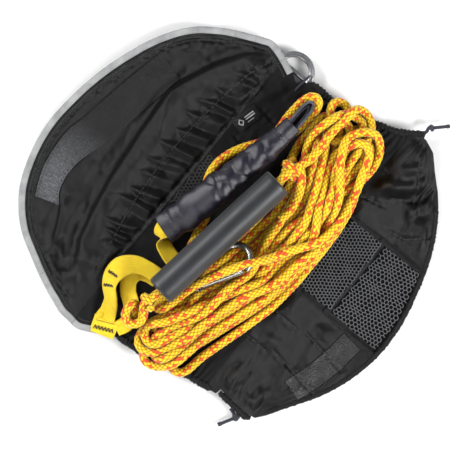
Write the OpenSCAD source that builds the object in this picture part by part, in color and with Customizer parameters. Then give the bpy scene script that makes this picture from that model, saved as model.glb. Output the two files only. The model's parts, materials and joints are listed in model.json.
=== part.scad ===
// Waist rope bag, opened flat: a back panel that carries the line, a lid that
// folds over in two steps, a front wall that folds up in two steps, and the
// tow line with its float, shock absorber and hooks.
// Millimetres. +X to the right hem, +Y to the lid, +Z up, the belt sleeve's
// underside on Z = 0.

/* [Bag fabric] */
// Thickness of the coated nylon panels, with their lining
fabric_t = 1.6; // [1.2:0.1:1.8]
// Height of the back panel's underside over the surface it lies on
base_z = 10.4; // [10.4:0.1:10.8]
// How far the lid's rim stands over its floor
lid_rim = 4; // [2:0.5:4]
// How far the front wall's rim stands over its floor
front_rim = 3; // [1:0.5:3]
// Width of the reflective binding
binding_w = 5; // [4:0.5:6]
// Width of the hook and loop tapes
tape_w = 24; // [20:1:26]

/* [Folds] */
// Y of the lid's fold on the back panel
fold_a_y = 62; // [62:0.5:63]
// Y of the fold between the lid's gusset and its flap
fold_b_y = 112; // [110:1:113]
// Y of the front wall's fold on the back panel
fold_c_y = -70; // [-71:0.5:-70]
// Y of the fold between the front gusset and the front flap
fold_d_y = -106; // [-107:0.5:-105]

/* [Belt sleeve] */
// Width of the belt that the sleeve takes
belt_w = 50; // [38:1:50]
// Length of the sleeve along the belt
sleeve_len = 120; // [80:5:124]

/* [Line] */
// Rope diameter
rope_d = 8; // [6:0.5:8]
// Outer diameter of the foam float
float_d = 24.8; // [22:0.2:24.8]
// Length of the foam float
float_len = 128; // [110:1:129]
// Width of the yellow webbing
web_w = 20; // [15:1:20]
// Thickness of the webbing
web_t = 1.6; // [1.2:0.1:1.6]

/* [Hooks] */
// Thickness of the carabiner's forging
krab_t = 6.8; // [5:0.2:6.8]
// Width of the carabiner's bar, seen from above
krab_bar = 5.6; // [5:0.1:6]
// Wire diameter of the steel snap hook
snap_d = 6; // [5:0.2:6]

/* [Hidden] */
$fn = 48;

gap = 0.15;              // left between pieces that are sewn edge to edge
top_z = base_z + fabric_t;
lobe_z = 2.6;            // underside of the lid's and the front flap's floor

// ---------- outlines, hand-chosen round numbers ----------
// lid's left and right edge, as [y, x]
lid_l = [[62, -146.5], [68, -146], [80, -141.5], [87, -139], [112, -127.5], [137, -112], [156, -90], [167, -63], [172, -34]];
lid_r = [[62, 128.5], [73, 130.5], [80, 128], [87, 125], [112, 113], [131, 98], [147, 75], [158, 49], [166, 22], [172, -34]];
// lid flap's outer edge, left to right
lid_arc = [[-127, 115], [-112, 137], [-90, 156], [-63, 167], [-34, 172], [-5, 170.5],
  [22, 166], [49, 158], [75, 147], [98, 131], [112, 115]];
// back panel's side edges, as [x, y] from the lid fold to the front fold
base_l = [[-146.5, 61.5], [-147.5, 50], [-141.5, 37], [-134.5, 22], [-132.5, 8], [-131, -8], [-124, -38], [-119, -69.5]];
base_r = [[127.5, 61.5], [126, 55], [121.5, 43.5], [117.5, 36.5], [121, 32.5], [125.5, 27], [125.5, 3], [134, -36], [140, -52], [152, -69.5]];
// front gusset's side edges, as [y, x]
front_l = [[-106, -114], [-101, -118], [-92, -116], [-70, -114]];
front_r = [[-106, 121], [-95, 132], [-84, 143], [-73, 147.5], [-70, 147.5]];
// front flap's outer edge, as [x, y]
front_arc = [[-112, -109], [-88, -124], [-65, -138], [-39, -148], [-11, -153], [17, -152],
  [45, -146], [73, -137], [100, -123], [118, -109]];

// ---------- small functions ----------
function smooth(t) = t <= 0 ? 0 : t >= 1 ? 1 : t * t * (3 - 2 * t);
function mix(a, b, t) = a + (b - a) * t;
function unit(v) = v / norm(v);
function at(p, i) = p[max(0, min(len(p) - 1, i))];
function cr(a, b, c, d, t) = 0.5 * ((2 * b) + (c - a) * t + (2 * a - 5 * b + 4 * c - d) * t * t
  + (3 * b - a - 3 * c + d) * t * t * t);
// a smooth curve through the points p, n steps to each span
function curve(p, n) = concat([for (i = [0 : len(p) - 2]) for (k = [0 : n - 1])
  cr(at(p, i - 1), p[i], p[i + 1], at(p, i + 2), k / n)], [p[len(p) - 1]]);
function tangent(p, i) = unit(at(p, i + 1) - at(p, i - 1));
// the 2D curve c moved to its right by d
function shifted(c, d) = [for (i = [0 : len(c) - 1]) let (t = tangent(c, i)) c[i] + d * [t[1], -t[0]]];
function spread(p, n) = [for (k = [0 : n]) let (f = k / n * (len(p) - 1), i = min(floor(f), len(p) - 2))
  mix(p[i], p[i + 1], f - i)];

// ---------- heights of the open lobes ----------
function lid_z(x, y) =
  let (d = min(x - lookup(y, lid_l), lookup(y, lid_r) - x, y < 112 ? 99 : lookup(x, lid_arc) - y))
  mix(base_z, lobe_z, smooth((y - fold_a_y) / (fold_b_y - fold_a_y)))
  + lid_rim * smooth(1 - max(0, d) / 24) * smooth((y - fold_a_y - 2) / 20) * smooth((abs(y - fold_b_y) - 1) / 16);
function front_z(x, y) =
  let (d = min(x - lookup(y, front_l), lookup(y, front_r) - x, y > fold_d_y ? 99 : y - lookup(x, front_arc)))
  mix(base_z, lobe_z, smooth((fold_c_y - y) / (fold_c_y - fold_d_y)))
  + front_rim * smooth(1 - max(0, d) / 20) * smooth((fold_c_y - y - 2) / 16) * smooth((abs(y - fold_d_y) - 1) / 10);

// ---------- solids from points ----------
// a sheet over rows of points, which are its underside, t thick
module sheet(rows0, t) {
  up = cross(rows0[0][1] - rows0[0][0], rows0[1][0] - rows0[0][0])[2] > 0;
  rows = up ? [for (i = [len(rows0) - 1 : -1 : 0]) rows0[i]] : rows0;
  r = len(rows); c = len(rows[0]);
  low = [for (row = rows) for (p = row) p];
  pts = concat(low, [for (p = low) p + [0, 0, t]]);
  n = r * c;
  function id(i, j, up) = i * c + j + (up ? n : 0);
  quads = concat(
    [for (i = [0 : r - 2]) for (j = [0 : c - 2]) [id(i, j, true), id(i, j + 1, true), id(i + 1, j + 1, true), id(i + 1, j, true)]],
    [for (i = [0 : r - 2]) for (j = [0 : c - 2]) [id(i, j, false), id(i + 1, j, false), id(i + 1, j + 1, false), id(i, j + 1, false)]],
    [for (j = [0 : c - 2]) [id(0, j, false), id(0, j + 1, false), id(0, j + 1, true), id(0, j, true)]],
    [for (j = [0 : c - 2]) [id(r - 1, j + 1, false), id(r - 1, j, false), id(r - 1, j, true), id(r - 1, j + 1, true)]],
    [for (i = [0 : r - 2]) [id(i + 1, 0, false), id(i, 0, false), id(i, 0, true), id(i + 1, 0, true)]],
    [for (i = [0 : r - 2]) [id(i, c - 1, false), id(i + 1, c - 1, false), id(i + 1, c - 1, true), id(i, c - 1, true)]]);
  polyhedron(points = pts, faces = [for (q = quads) each [[q[0], q[1], q[2]], [q[0], q[2], q[3]]]], convexity = 8);
}
// a solid through rings of equally many points, each ring seen clockwise along the way
module loft(rings) {
  r = len(rings); c = len(rings[0]);
  pts = [for (ring = rings) for (p = ring) p];
  walls = [for (i = [0 : r - 2]) for (j = [0 : c - 1]) let (a = i * c + j, b = i * c + (j + 1) % c)
    each [[a, b + c, b], [a, a + c, b + c]]];
  polyhedron(points = pts, faces = concat(walls,
    [for (j = [1 : c - 2]) [0, j, j + 1]],
    [for (j = [1 : c - 2]) [(r - 1) * c, (r - 1) * c + j + 1, (r - 1) * c + j]]), convexity = 8);
}
// an oval tube along the path p: half-widths a (level) and b (upright), one value or one to each point
module tube(p, a, b, sides = 8) {
  function v(q, i) = is_list(q) ? q[i] : q;
  loft([for (i = [0 : len(p) - 1]) let (t = tangent(p, i), s = unit(cross(t, [0, 0, 1])), u = cross(s, t))
    [for (k = [0 : sides - 1]) let (w = -360 * k / sides) p[i] + v(a, i) * cos(w) * s + v(b, i) * sin(w) * u]]);
}
// an oval pipe along the path p, with its wall inside the half-widths a and b
module pipe(p, a, b, wall, sides = 8) {
  function v(q, i) = is_list(q) ? q[i] : q;
  c = sides; r = len(p); n = r * c;
  function ring(i, d) = let (t = tangent(p, i), s = unit(cross(t, [0, 0, 1])), u = cross(s, t))
    [for (k = [0 : c - 1]) let (w = -360 * k / c) p[i] + (v(a, i) - d) * cos(w) * s + (v(b, i) - d) * sin(w) * u];
  pts = concat([for (i = [0 : r - 1]) each ring(i, 0)], [for (i = [0 : r - 1]) each ring(i, wall)]);
  walls = [for (i = [0 : r - 2]) for (j = [0 : c - 1]) let (e = i * c + j, f = i * c + (j + 1) % c)
    each [[e, f + c, f], [e, e + c, f + c], [n + e, n + f, n + f + c], [n + e, n + f + c, n + e + c]]];
  ends = [for (j = [0 : c - 1]) let (k = (j + 1) % c, m = (r - 1) * c)
    each [[j, k, n + k], [j, n + k, n + j], [m + j, n + m + k, m + k], [m + j, n + m + j, n + m + k]]];
  polyhedron(points = pts, faces = concat(walls, ends), convexity = 10);
}
// a strap along the path p, its width along w[i]
module strap(p, w, width, t) {
  function v(q, i) = is_list(q) ? q[i] : q;
  loft([for (i = [0 : len(p) - 1]) let (d = tangent(p, i), s0 = w[i] - (w[i] * d) * d, s = unit(s0), u = cross(s, d),
    hw = v(width, i) / 2) [p[i] - hw * s - t / 2 * u, p[i] - hw * s + t / 2 * u, p[i] + hw * s + t / 2 * u, p[i] + hw * s - t / 2 * u]]);
}

// ---------- back panel and what is sewn to it ----------
base_l_c = curve(base_l, 4);
base_r_c = curve(base_r, 4);
// the panel's own edge, inside the bindings and the hems
back_l = curve([[-140.5, 61.5], [-141.4, 50], [-135.3, 37], [-128.6, 22], [-126.3, 8], [-124.4, -8], [-117.6, -38], [-112.8, -69.5]], 2);
back_r = curve([[144, -69.5], [132, -52], [126.4, -36], [118.6, 3], [117.8, 24], [110.4, 32], [110.4, 38.5], [115, 45], [119.4, 55], [121.2, 61.5]], 2);
module back_panel() color("#1b1b1c") difference() {
  translate([0, 0, base_z]) linear_extrude(fabric_t) polygon(concat(back_l, back_r));
  translate([-22, 34, base_z - 1]) cube([52, 24, fabric_t + 2]);
}
module back_mesh() color("#141414") translate([-22 + gap, 34 + gap, base_z + 0.3]) cube([52 - 2 * gap, 24 - 2 * gap, 1]);
// a small flat pocket, and the maker's blank patch above it
module inner_pocket() color("#202021") translate([65, 36.5, top_z + 0.1]) rotate([0, 0, -8]) translate([-14, -9, 0]) cube([28, 18, 0.8]);
module label_patch() color("#111111") translate([69, 49.3, top_z + 1.0]) rotate([0, 0, -15])
  translate([-11.2, -6.2, 0]) cube([22.4, 12.4, 0.7]);
module belt_sleeve() color("#1a1a1a") {
  // a strip sewn along its two long edges, so that the belt slides through it
  h = belt_w / 2 + 3.5;
  rotate([90, 0, 90]) translate([0, 0, -sleeve_len / 2]) linear_extrude(sleeve_len)
    polygon([[-h, 0], [h, 0], [h, base_z - 0.05], [h - fabric_t, base_z - 0.05], [h - fabric_t, fabric_t],
      [-h + fabric_t, fabric_t], [-h + fabric_t, base_z - 0.05], [-h, base_z - 0.05]]);
}
// a band along the outline c, from d0 to d1 inside it
function edge_band(c, i0, i1, d0, d1, z) = [
  [for (i = [i0 : i1]) let (t = tangent(c, i), q = c[i] + d0 * [-t[1], t[0]]) [q[0], q[1], z]],
  [for (i = [i0 : i1]) let (t = tangent(c, i), q = c[i] + d1 * [-t[1], t[0]]) [q[0], q[1], z]]];
module binding_corner_left() color("#c9c9c9") sheet(edge_band(base_l_c, 0, 12, binding_w, 0, base_z - 0.6), 2.6);
module binding_corner_right() color("#c9c9c9") sheet(edge_band(base_r_c, 0, 8, 0, -binding_w, base_z - 0.6), 2.6);
function hem_path(c, i0, i1, d, z) = [for (i = [i0 : i1]) let (t = tangent(c, i), q = c[i] + d * [-t[1], t[0]]) [q[0], q[1], z]];
// the gathered hems are fabric tubes round an elastic cord
module casing(p) pipe(p, 3.1, 3.1, 1);
hem_z = base_z - 1.4;
hem_l = concat(hem_path(base_l_c, 14, 27, 1.9, hem_z), [[-117.3, -66.8, hem_z]]);
hem_r = concat(hem_path(base_r_c, 21, 35, -1.9, hem_z), [[149.6, -67.4, hem_z]]);
module side_hem_left() color("#181818") casing(hem_l);
module side_hem_right() color("#181818") casing(hem_r);
module elastic_left_rear() color("#26262e") tube(hem_l, 1.6, 1.6);

// ---------- lid ----------
lid_c = curve(lid_arc, 3);
lid_in = shifted(lid_c, binding_w + gap);
// the lid gusset, between the two lid folds
module lid_gusset() color("#1d1d1e")
  sheet([for (j = [0 : 12]) let (y = mix(fold_a_y + 0.6, fold_b_y - 0.6, j / 12), a = lookup(y, lid_l) + binding_w + 2 * gap, b = lookup(y, lid_r) - binding_w - 2 * gap)
    [for (i = [0 : 20]) let (x = mix(a, b, (1 - cos(180 * i / 20)) / 2)) [x, y, lid_z(x, y)]]], fabric_t);
// flat elastic that gathers the gusset along a bowed line
module gather_tape() color("#161616") let (w = 5)
  sheet([for (k = [-1, 1]) [for (i = [0 : 24]) let (x = mix(-112, 112, i / 24), y = 84 - 14 * pow(x / 112, 2) + k * w / 2)
    [x, y, lid_z(x, y) + fabric_t + 0.1]]], 0.8);
module side_band(edge, s) {
  ys = [for (j = [0 : 12]) mix(fold_a_y + 0.6, fold_b_y - 0.6, j / 12)];
  sheet(s < 0 ? [[for (y = ys) [lookup(y, edge) + binding_w, y, lid_z(lookup(y, edge) + binding_w, y) - 0.9]], [for (y = ys) [lookup(y, edge), y, lid_z(lookup(y, edge), y) - 0.9]]]
    : [[for (y = ys) [lookup(y, edge), y, lid_z(lookup(y, edge), y) - 0.9]], [for (y = ys) [lookup(y, edge) - binding_w, y, lid_z(lookup(y, edge) - binding_w, y) - 0.9]]], 2.6);
}
module binding_side_left() color("#c9c9c9") side_band(lid_l, -1);
module binding_side_right() color("#c9c9c9") side_band(lid_r, 1);
module lid_flap() color("#1d1d1e") {
  n = len(lid_in) - 1;
  sheet([for (j = [0 : 8]) [for (i = [0 : n]) let (q = [mix(-121.5, 107, i / n), fold_b_y + 0.5], p = mix(q, lid_in[i], j / 8)) [p[0], p[1], lid_z(p[0], p[1])]]], fabric_t);
}
module lid_binding() color("#c9c9c9") let (a = lid_c, b = shifted(lid_c, binding_w))
  sheet([[for (p = b) [p[0], p[1], lid_z(p[0], p[1]) - 0.9]], [for (p = a) [p[0], p[1], lid_z(p[0], p[1]) - 0.9]]], 2.6);
loop_mid = curve([[-83, 133], [-62, 143], [-32, 146], [0, 139], [34, 133], [64, 128]], 4);
module loop_tape() color("#2a2a2a")
  sheet([for (k = [-2 : 2]) [for (i = [0 : len(loop_mid) - 1]) let (t = tangent(loop_mid, i), q = loop_mid[i] + k * tape_w / 4 * [-t[1], t[0]])
    [q[0], q[1], lid_z(q[0], q[1]) + fabric_t + 0.25]]], 1.2);

// ---------- front wall, with a mesh window that drains it ----------
module front_part(x0, x1, n, y0, y1, t, dz = 0)
  sheet([for (j = [0 : 6]) let (y = mix(y1, y0, j / 6)) [for (i = [0 : n]) let (x = mix(max(x0, lookup(y, front_l)), min(x1, lookup(y, front_r)), i / n)) [x, y, front_z(x, y) + dz]]], t);
module front_gusset() color("#1c1c1d") {
  front_part(-200, -9, 8, fold_c_y - 0.5, fold_d_y + 0.5, fabric_t);
  front_part(61, 200, 8, fold_c_y - 0.5, fold_d_y + 0.5, fabric_t);
}
module mesh_upper() color("#2b2b2b") front_part(-9 + gap, 61 - gap, 8, fold_c_y - 0.5, fold_d_y + 0.5, 1, 0.3);
hem_w = 4;
front_c = curve(front_arc, 3);
// columns of the front flap from its fold to its hem
module flap_part(x0, x1, n, t, dz = 0)
  sheet([for (j = [0 : 6]) [for (i = [0 : n]) let (x = mix(x0, x1, i / n), y = mix(lookup(x, front_arc) + hem_w + 0.5, fold_d_y - 0.5, j / 6)) [x, y, front_z(x, y) + dz]]], t);
module front_flap() color("#1c1c1d") { flap_part(-101, -14, 10, fabric_t); flap_part(58, 107, 8, fabric_t); }
module mesh_lower() color("#2b2b2b") flap_part(-14 + gap, 58 - gap, 8, 1, 0.3);
module front_edge_hem() color("#191919")
  sheet([for (k = [0, 1]) [for (i = [0 : 30]) let (x = mix(-104, 110, i / 30), y = lookup(x, front_arc) + k * hem_w) [x, y, front_z(x, y) - 0.4]]], 2.4);
hook_mid = curve([[-76, -117], [-56, -123], [-36, -127], [-19, -129]], 3);
module hook_tape() color("#232323")
  sheet([for (k = [-1, 1]) [for (i = [0 : len(hook_mid) - 1]) let (t = tangent(hook_mid, i), q = hook_mid[i] + k * 9 * [-t[1], t[0]]) [q[0], q[1], 1.1]]], 1.3);
front_hem_l = [[-117.4, -73.6, hem_z - 0.4], [-118.4, -80, hem_z - 2.2], [-120.2, -87, hem_z - 3.8], [-121.6, -91, hem_z - 4.4]];
module front_hem_left() color("#181818") casing(front_hem_l);
// an overhand knot and its sealed tail on each elastic end, as [distance, radius] along it
knot_shape = [[-4.2, 1.6], [-3.2, 2.9], [-1, 3.9], [1.4, 3.8], [3.2, 2.7], [4.2, 1.6], [13, 1.6], [13.6, 2.1], [15.2, 2.1], [15.6, 1.4]];
module cord_with_knot(run, c, dir) {
  t = unit(dir);
  tube(concat(run, [for (q = knot_shape) c + q[0] * t]), concat([for (q = run) 1.6], [for (q = knot_shape) q[1]]),
    concat([for (q = run) 1.6], [for (q = knot_shape) q[1]]), 12);
}
module elastic_left_front() color("#26262e") cord_with_knot(front_hem_l, [-124, -94.6, hem_z - 4.6], [-9, 5, -0.6]);
module elastic_right() color("#26262e") cord_with_knot(hem_r, [157, -70.6, hem_z], [6, -6, -1]);

// ---------- tether webbing, sewn to the back panel's left corner ----------
tether_p = curve([[-136, 33.5, 13.4], [-128, 37, 13.6], [-120, 39, 17], [-112, 43, 20.5], [-104, 51, 22],
  [-95, 54, 22], [-86, 52.5, 21.5], [-78.5, 46, 21], [-75, 37, 20.5], [-74, 27, 20], [-74, 15, 19.5]], 3);
tether_w = curve([[0.42, -0.91, 0], [0.42, -0.91, 0], [0.4, -0.85, 0.2], [0.3, -0.75, 0.5], [0.15, -0.8, 0.6],
  [-0.1, -0.85, 0.5], [-0.5, -0.85, 0.2], [-0.85, -0.5, 0.1], [-1, -0.1, 0], [-1, 0, 0], [-1, 0, 0]], 3);
module tether_webbing() color("#e3b616") strap(tether_p, tether_w, web_w * 0.82, web_t);
module bar(c, a, len) translate(c) rotate([0, 0, a]) translate([-0.7, -len / 2, 0]) cube([1.4, len, 0.6]);
module tether_stitching() color("#101010") { bar([-131.5, 35.2, 15.0], 24, 16); bar([-127.4, 37.0, 15.4], 24, 10); bar([-104, 51, 24.9], 8, 5); bar([-94, 54, 24.9], -4, 5); }

// ---------- steel snap hook, lying on the line ----------
snap_at = [-38, -8, 32];
module snap_place() translate(snap_at) rotate([-30, 0, 0]) rotate([0, 0, -30]) children();
snap_R = 13; snap_r = 9; snap_x1 = 15; snap_x0 = -19;
// centreline of the open ring: from the nose round the big bow, the back and the small bow to the gate's lug
snap_slope = asin((snap_R - snap_r) / (snap_x1 - snap_x0));
function snap_arc(cx, r, a0, a1, n) = [for (k = [0 : n]) let (a = mix(a0, a1, k / n)) [cx + r * cos(a), r * sin(a), 0]];
snap_line = concat(snap_arc(snap_x1, snap_R, -62, 90 + snap_slope, 14), snap_arc(snap_x0, snap_r, 90 + snap_slope + 8, 262, 12));
module snap_ring(p, r, sides) loft([for (i = [0 : len(p) - 1]) let (t = tangent(p, i), s = cross(t, [0, 0, 1]))
  [for (k = [0 : sides - 1]) let (w = -360 * k / sides) p[i] + r * cos(w) * s + r * sin(w) * [0, 0, 1]]]);
snap_piv = [-22.1, -8.5, 0];
module snap_hook_body() color("#b9bcc0") snap_place() {
  difference() {
    snap_ring(snap_line, snap_d / 2, 12);
    translate(snap_piv + [0, 0, -5]) cylinder(d = 2.3, h = 10);
    for (s = [-1, 1]) translate(snap_piv + [-2.9, -4.2, s > 0 ? 1.2 : -6.2]) cube([10, 8.6, 5]);
  }
}
module snap_hook_rivet() color("#8f9296") snap_place() translate(snap_piv + [0, 0, -snap_d / 2 - 0.1]) cylinder(d = 2.2, h = snap_d + 0.2);
snap_tip = [snap_x1 + snap_R * cos(-62), snap_R * sin(-62), 0];
snap_dir = unit(snap_tip - snap_piv);
snap_ang = atan2(snap_dir[1], snap_dir[0]);
snap_gl = norm(snap_tip - snap_piv) - 2.1;
module snap_hook_gate() color("#c4c7ca") snap_place() translate(snap_piv) rotate([0, 0, snap_ang]) {
  difference() {
    union() {
      translate([4.6, 0, 0]) rotate([0, 90, 0]) cylinder(d = 5, h = snap_gl - 4.6);
      for (s = [-1, 1]) hull() { translate([0, 0, s > 0 ? 1.45 : -2.75]) cylinder(r = 2.4, h = 1.3); translate([5, -2.3, s > 0 ? 1.45 : -2.75]) cube([1, 4.6, 1.3]); }
    }
    translate([0, 0, -5]) cylinder(d = 2.32, h = 10);
  }
}

// ---------- line: its bundle, its run through the float, its eye on the shock absorber ----------
// sections of the bundle: [x, low y, high y, height]
bundle = [[-137, -18, -2, 7], [-128, -34, 4, 13], [-112, -44, 7, 18], [-90, -50, 6, 21], [-62, -55, 1, 26], [-30, -62, 1, 27], [4, -65.5, -3, 30],
  [36, -64, -1, 31], [66, -58, 3, 30], [94, -54, 5, 27], [116, -48, 4, 21], [128, -40, 0, 14], [136, -30, -6, 7]];
bundle_top = [[0, 0.25], [0.07, 0.55], [0.2, 0.88], [0.38, 1], [0.58, 0.93], [0.76, 0.68], [0.9, 0.4], [1, 0.15]];
module rope_bundle() color("#efb611") loft([for (i = [len(bundle) - 1 : -1 : 0]) let (s = bundle[i]) concat(
  [for (q = bundle_top) [s[0], mix(s[1], s[2], q[0]), top_z + 0.25 + s[3] * q[1]]],
  [[s[0], s[2], top_z + 0.25], [s[0], s[1], top_z + 0.25]])]);
float_c = [-18.5, 7.2, 40.3];
float_a = -8.3;
module on_float() translate(float_c) rotate([0, 0, float_a]) rotate([0, 90, 0]) children();
module float_tube() color("#3f4240") on_float() rotate_extrude($fn = 72) let (r = float_d / 2, b = rope_d / 2 + 0.45, h = float_len / 2)
  polygon([[b, -h + 0.6], [b + 0.6, -h], [r - 1.2, -h], [r - 0.35, -h + 0.35], [r, -h + 1.2], [r, h - 1.2], [r - 0.35, h - 0.35], [r - 1.2, h], [b + 0.6, h], [b, h - 0.6]]);
fx = [cos(float_a), sin(float_a), 0];
fl = float_len / 2;
knot_at = fl + 11.5;
run_l = [float_c - fx * knot_at, [-104, 24.6, 37.4], [-110, 27.2, 33.4], [-116, 25, 31.4], [-118.4, 20, 31], [-115, 14.4, 31.4], [-108, 12, 31.6]];
run_r = [float_c + fx * knot_at, [68, -9, 42], [74, -15, 40.5]];
stopper = [[-7.6, rope_d / 2], [-6, 6.2], [-2, 7.6], [2, 7.6], [6, 6.2], [7.6, rope_d / 2]];
float_run = concat([for (i = [len(run_l) - 1 : -1 : 1]) concat(run_l[i], [rope_d / 2])],
  [for (q = stopper) concat(float_c - fx * (knot_at - q[0]), [q[1]])],
  [for (k = [-3 : 3]) concat(float_c + fx * fl * k / 3, [rope_d / 2])],
  [for (q = stopper) concat(float_c + fx * (knot_at + q[0]), [q[1]])],
  [for (i = [1 : len(run_r) - 1]) concat(run_r[i], [rope_d / 2])]);
// the run through the float, with a stopper knot at each end of it
module rope_float_run() color("#efb611") tube([for (q = float_run) [q[0], q[1], q[2]]], [for (q = float_run) q[3]], [for (q = float_run) q[3]], 12);
eye_p = curve([[72, 23, 17.2], [86, 25, 18], [100, 24.4, 21.6], [111, 23.4, 25.6], [118.4, 16.6, 26.6], [112, 10.4, 25.6], [101, 10.2, 23], [92, 11, 21]], 4);
arch_p = curve([[66, 25.5, 17.3], [52, 35.5, 17.3], [38, 43, 17.3], [22, 46, 17.3], [10, 41.5, 17], [4, 31, 16.8]], 4);
module rope_eye_run() color("#efb611") tube(eye_p, rope_d / 2, rope_d / 2);
module rope_arch_run() color("#efb611") tube(arch_p, rope_d / 2, rope_d / 2);

// ---------- shock absorber: bungee in a fabric sleeve, with a webbing end each side ----------
sleeve_p = [[-42, 45.5, 20.6], [-24, 40, 24], [-6, 35.8, 29.5], [14, 31.2, 32.6], [36, 26.8, 33], [56, 22.6, 32.8], [74, 19.4, 33.6], [88, 17.6, 34.6]];
sleeve_a = [12.6, 13, 13.2, 12.4, 10.8, 10.6, 9.4, 7.6];
sleeve_b = [5.4, 7.8, 9.4, 10.2, 9.8, 9.2, 7.8, 5.6];
module shock_sleeve() color("#26252c") pipe(sleeve_p, sleeve_a, sleeve_b, 1.1, 16);
// the doubled elastic cord inside
module shock_bungee() color("#3c3c3c") for (s = [-1, 1])
  tube([for (i = [1 : 6]) sleeve_p[i] + [0, s * 3.4, 0]], 3, 3);
shock_loop = [[80, 21.4, 34.4], [90, 21, 34.8], [100, 20.6, 35], [107, 19.6, 35], [110.4, 17.2, 35], [107, 14.8, 35], [100, 13.8, 35], [90, 13.8, 34.8], [80, 14.4, 34.4]];
module shock_loop_webbing() color("#2a2c3a") strap(shock_loop, [for (p = shock_loop) [0, 0, 1]], 5.6, 1.6);
module shock_tail_webbing() color("#d9a80f")
  strap([[-26, 40.4, 23.6], [-40, 45, 20.8], [-48, 43, 20], [-53, 34, 18.6], [-56, 24, 18]],
    [[-0.1, -1, 0], [-0.1, -1, 0.1], [-0.6, -0.7, 0.35], [-0.8, 0.3, 0.5], [-0.9, 0.3, 0.4]], [16, 16, 14, 13, 13], 1.4);

// ---------- aluminium carabiner, kept by a loop at the back panel's right corner ----------
krab_c = [122, 44];              // centre of the big bow
krab_x0 = 83;                    // X of the small bow's centre
krab_R = 17.6; krab_r = 13;
krab_z = 2.8;
function arc(c, r, a0, a1, n) = [for (k = [0 : n]) let (a = mix(a0, a1, k / n)) c + r * [cos(a), sin(a)]];
// two bows and their common tangents
function bows(R, r) = let (d = krab_c[0] - krab_x0, f = asin((R - r) / d))
  concat(arc([0, 0], R, -90 - f, 90 + f, 36), arc([-d, 0], r, 90 + f, 270 - f, 24));
krab_piv = [-9.5, -13.9];        // the gate's pin, from the big bow's centre
module krab_frame() translate([krab_c[0], krab_c[1], krab_z]) children();
module carabiner_body() color("#b4b6b8") krab_frame() difference() {
  inner = krab_R - krab_bar;
  rim = krab_R - 2.8;
  linear_extrude(krab_t) difference() {
    polygon(bows(krab_R, krab_r));
    // the basket
    polygon(concat([[-1.6, -11.9]], [[-1.6, 11.9]], arc([krab_x0 - krab_c[0], 0], krab_r - krab_bar, 97, 263, 20)));
    // the captive eye's window, and a small hole on each side of its struts
    polygon(concat([[3.4, -7.5]], arc([0, 0], inner, -asin(7.5 / inner), asin(7.5 / inner), 8), [[3.4, 7.5]]));
    for (s = [-1, 1]) polygon(concat([[3.4, s * 10.5]], arc([0, 0], rim, s * asin(10.5 / rim), s * acos(3.4 / rim), 5)));
  }
  // the lightening groove round the eye, on both faces
  for (z = [-1, krab_t - 1.2]) translate([0, 0, z]) linear_extrude(2.2)
    polygon(concat(arc([0, 0], krab_R - 1.5, -34, 34, 10), arc([0, 0], krab_R - 3.9, 34, -34, 10)));
  // the mouth that the gate closes, the gate's slot and its pin hole
  translate([-38.5, -20, -1]) cube([24.6, 14, krab_t + 2]);
  translate([-14.5, -19, krab_t / 2 - 1.5]) cube([8.4, 9, 3]);
  translate([krab_piv[0], krab_piv[1], -1]) cylinder(d = 2.3, h = krab_t + 2);
}
module carabiner_pin() color("#8f9296") krab_frame() translate([krab_piv[0], krab_piv[1], -0.05]) cylinder(d = 2.2, h = krab_t + 0.1);
module carabiner_gate() color("#c0c2c4") krab_frame() translate([krab_piv[0], krab_piv[1], 0]) rotate([0, 0, -6.8]) difference() {
  union() {
    translate([-28.6, -2.2, 0.6]) cube([23, 4.4, krab_t - 1.2]);
    translate([-6, -1.4, krab_t / 2 - 1.2]) cube([6, 2.8, 2.4]);
    translate([0, 0, krab_t / 2 - 1.2]) cylinder(r = 1.9, h = 2.4);
  }
  translate([0, 0, -1]) cylinder(d = 2.32, h = krab_t + 2);
}
// a cord loop from the back panel's notch through the carabiner's small hole
keeper_p = curve([[111, 33.6, 13.1], [119, 33.2, 13.1], [125, 32.4, 12.4], [127.7, 32, 9.4], [127.7, 32, 3.6], [125.6, 32.2, 1.5],
  [121.4, 33.6, 1.4], [118.2, 35, 3], [117.4, 35.4, 6], [117.2, 35.6, 9.2]], 3);
module keeper_loop() color("#16161a") tube(keeper_p, 0.95, 0.95);

// ---------- the model ----------
back_panel();
back_mesh();
inner_pocket();
label_patch();
belt_sleeve();
binding_corner_left();
binding_corner_right();
side_hem_left();
side_hem_right();
elastic_left_rear();
elastic_right();
tether_webbing();
tether_stitching();
snap_hook_body();
snap_hook_rivet();
rope_bundle();
rope_float_run();
rope_eye_run();
rope_arch_run();
shock_sleeve();
shock_bungee();
shock_loop_webbing();
shock_tail_webbing();
keeper_loop();
lid_gusset();
gather_tape();
binding_side_left();
binding_side_right();
lid_flap();
lid_binding();
loop_tape();
front_gusset();
mesh_upper();
front_hem_left();
elastic_left_front();
front_flap();
mesh_lower();
front_edge_hem();
hook_tape();
carabiner_body();
carabiner_pin();
carabiner_gate();
snap_hook_gate();
float_tube();
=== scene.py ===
import bpy, bmesh, json, math
import numpy as np
from mathutils import Vector, Matrix

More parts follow.
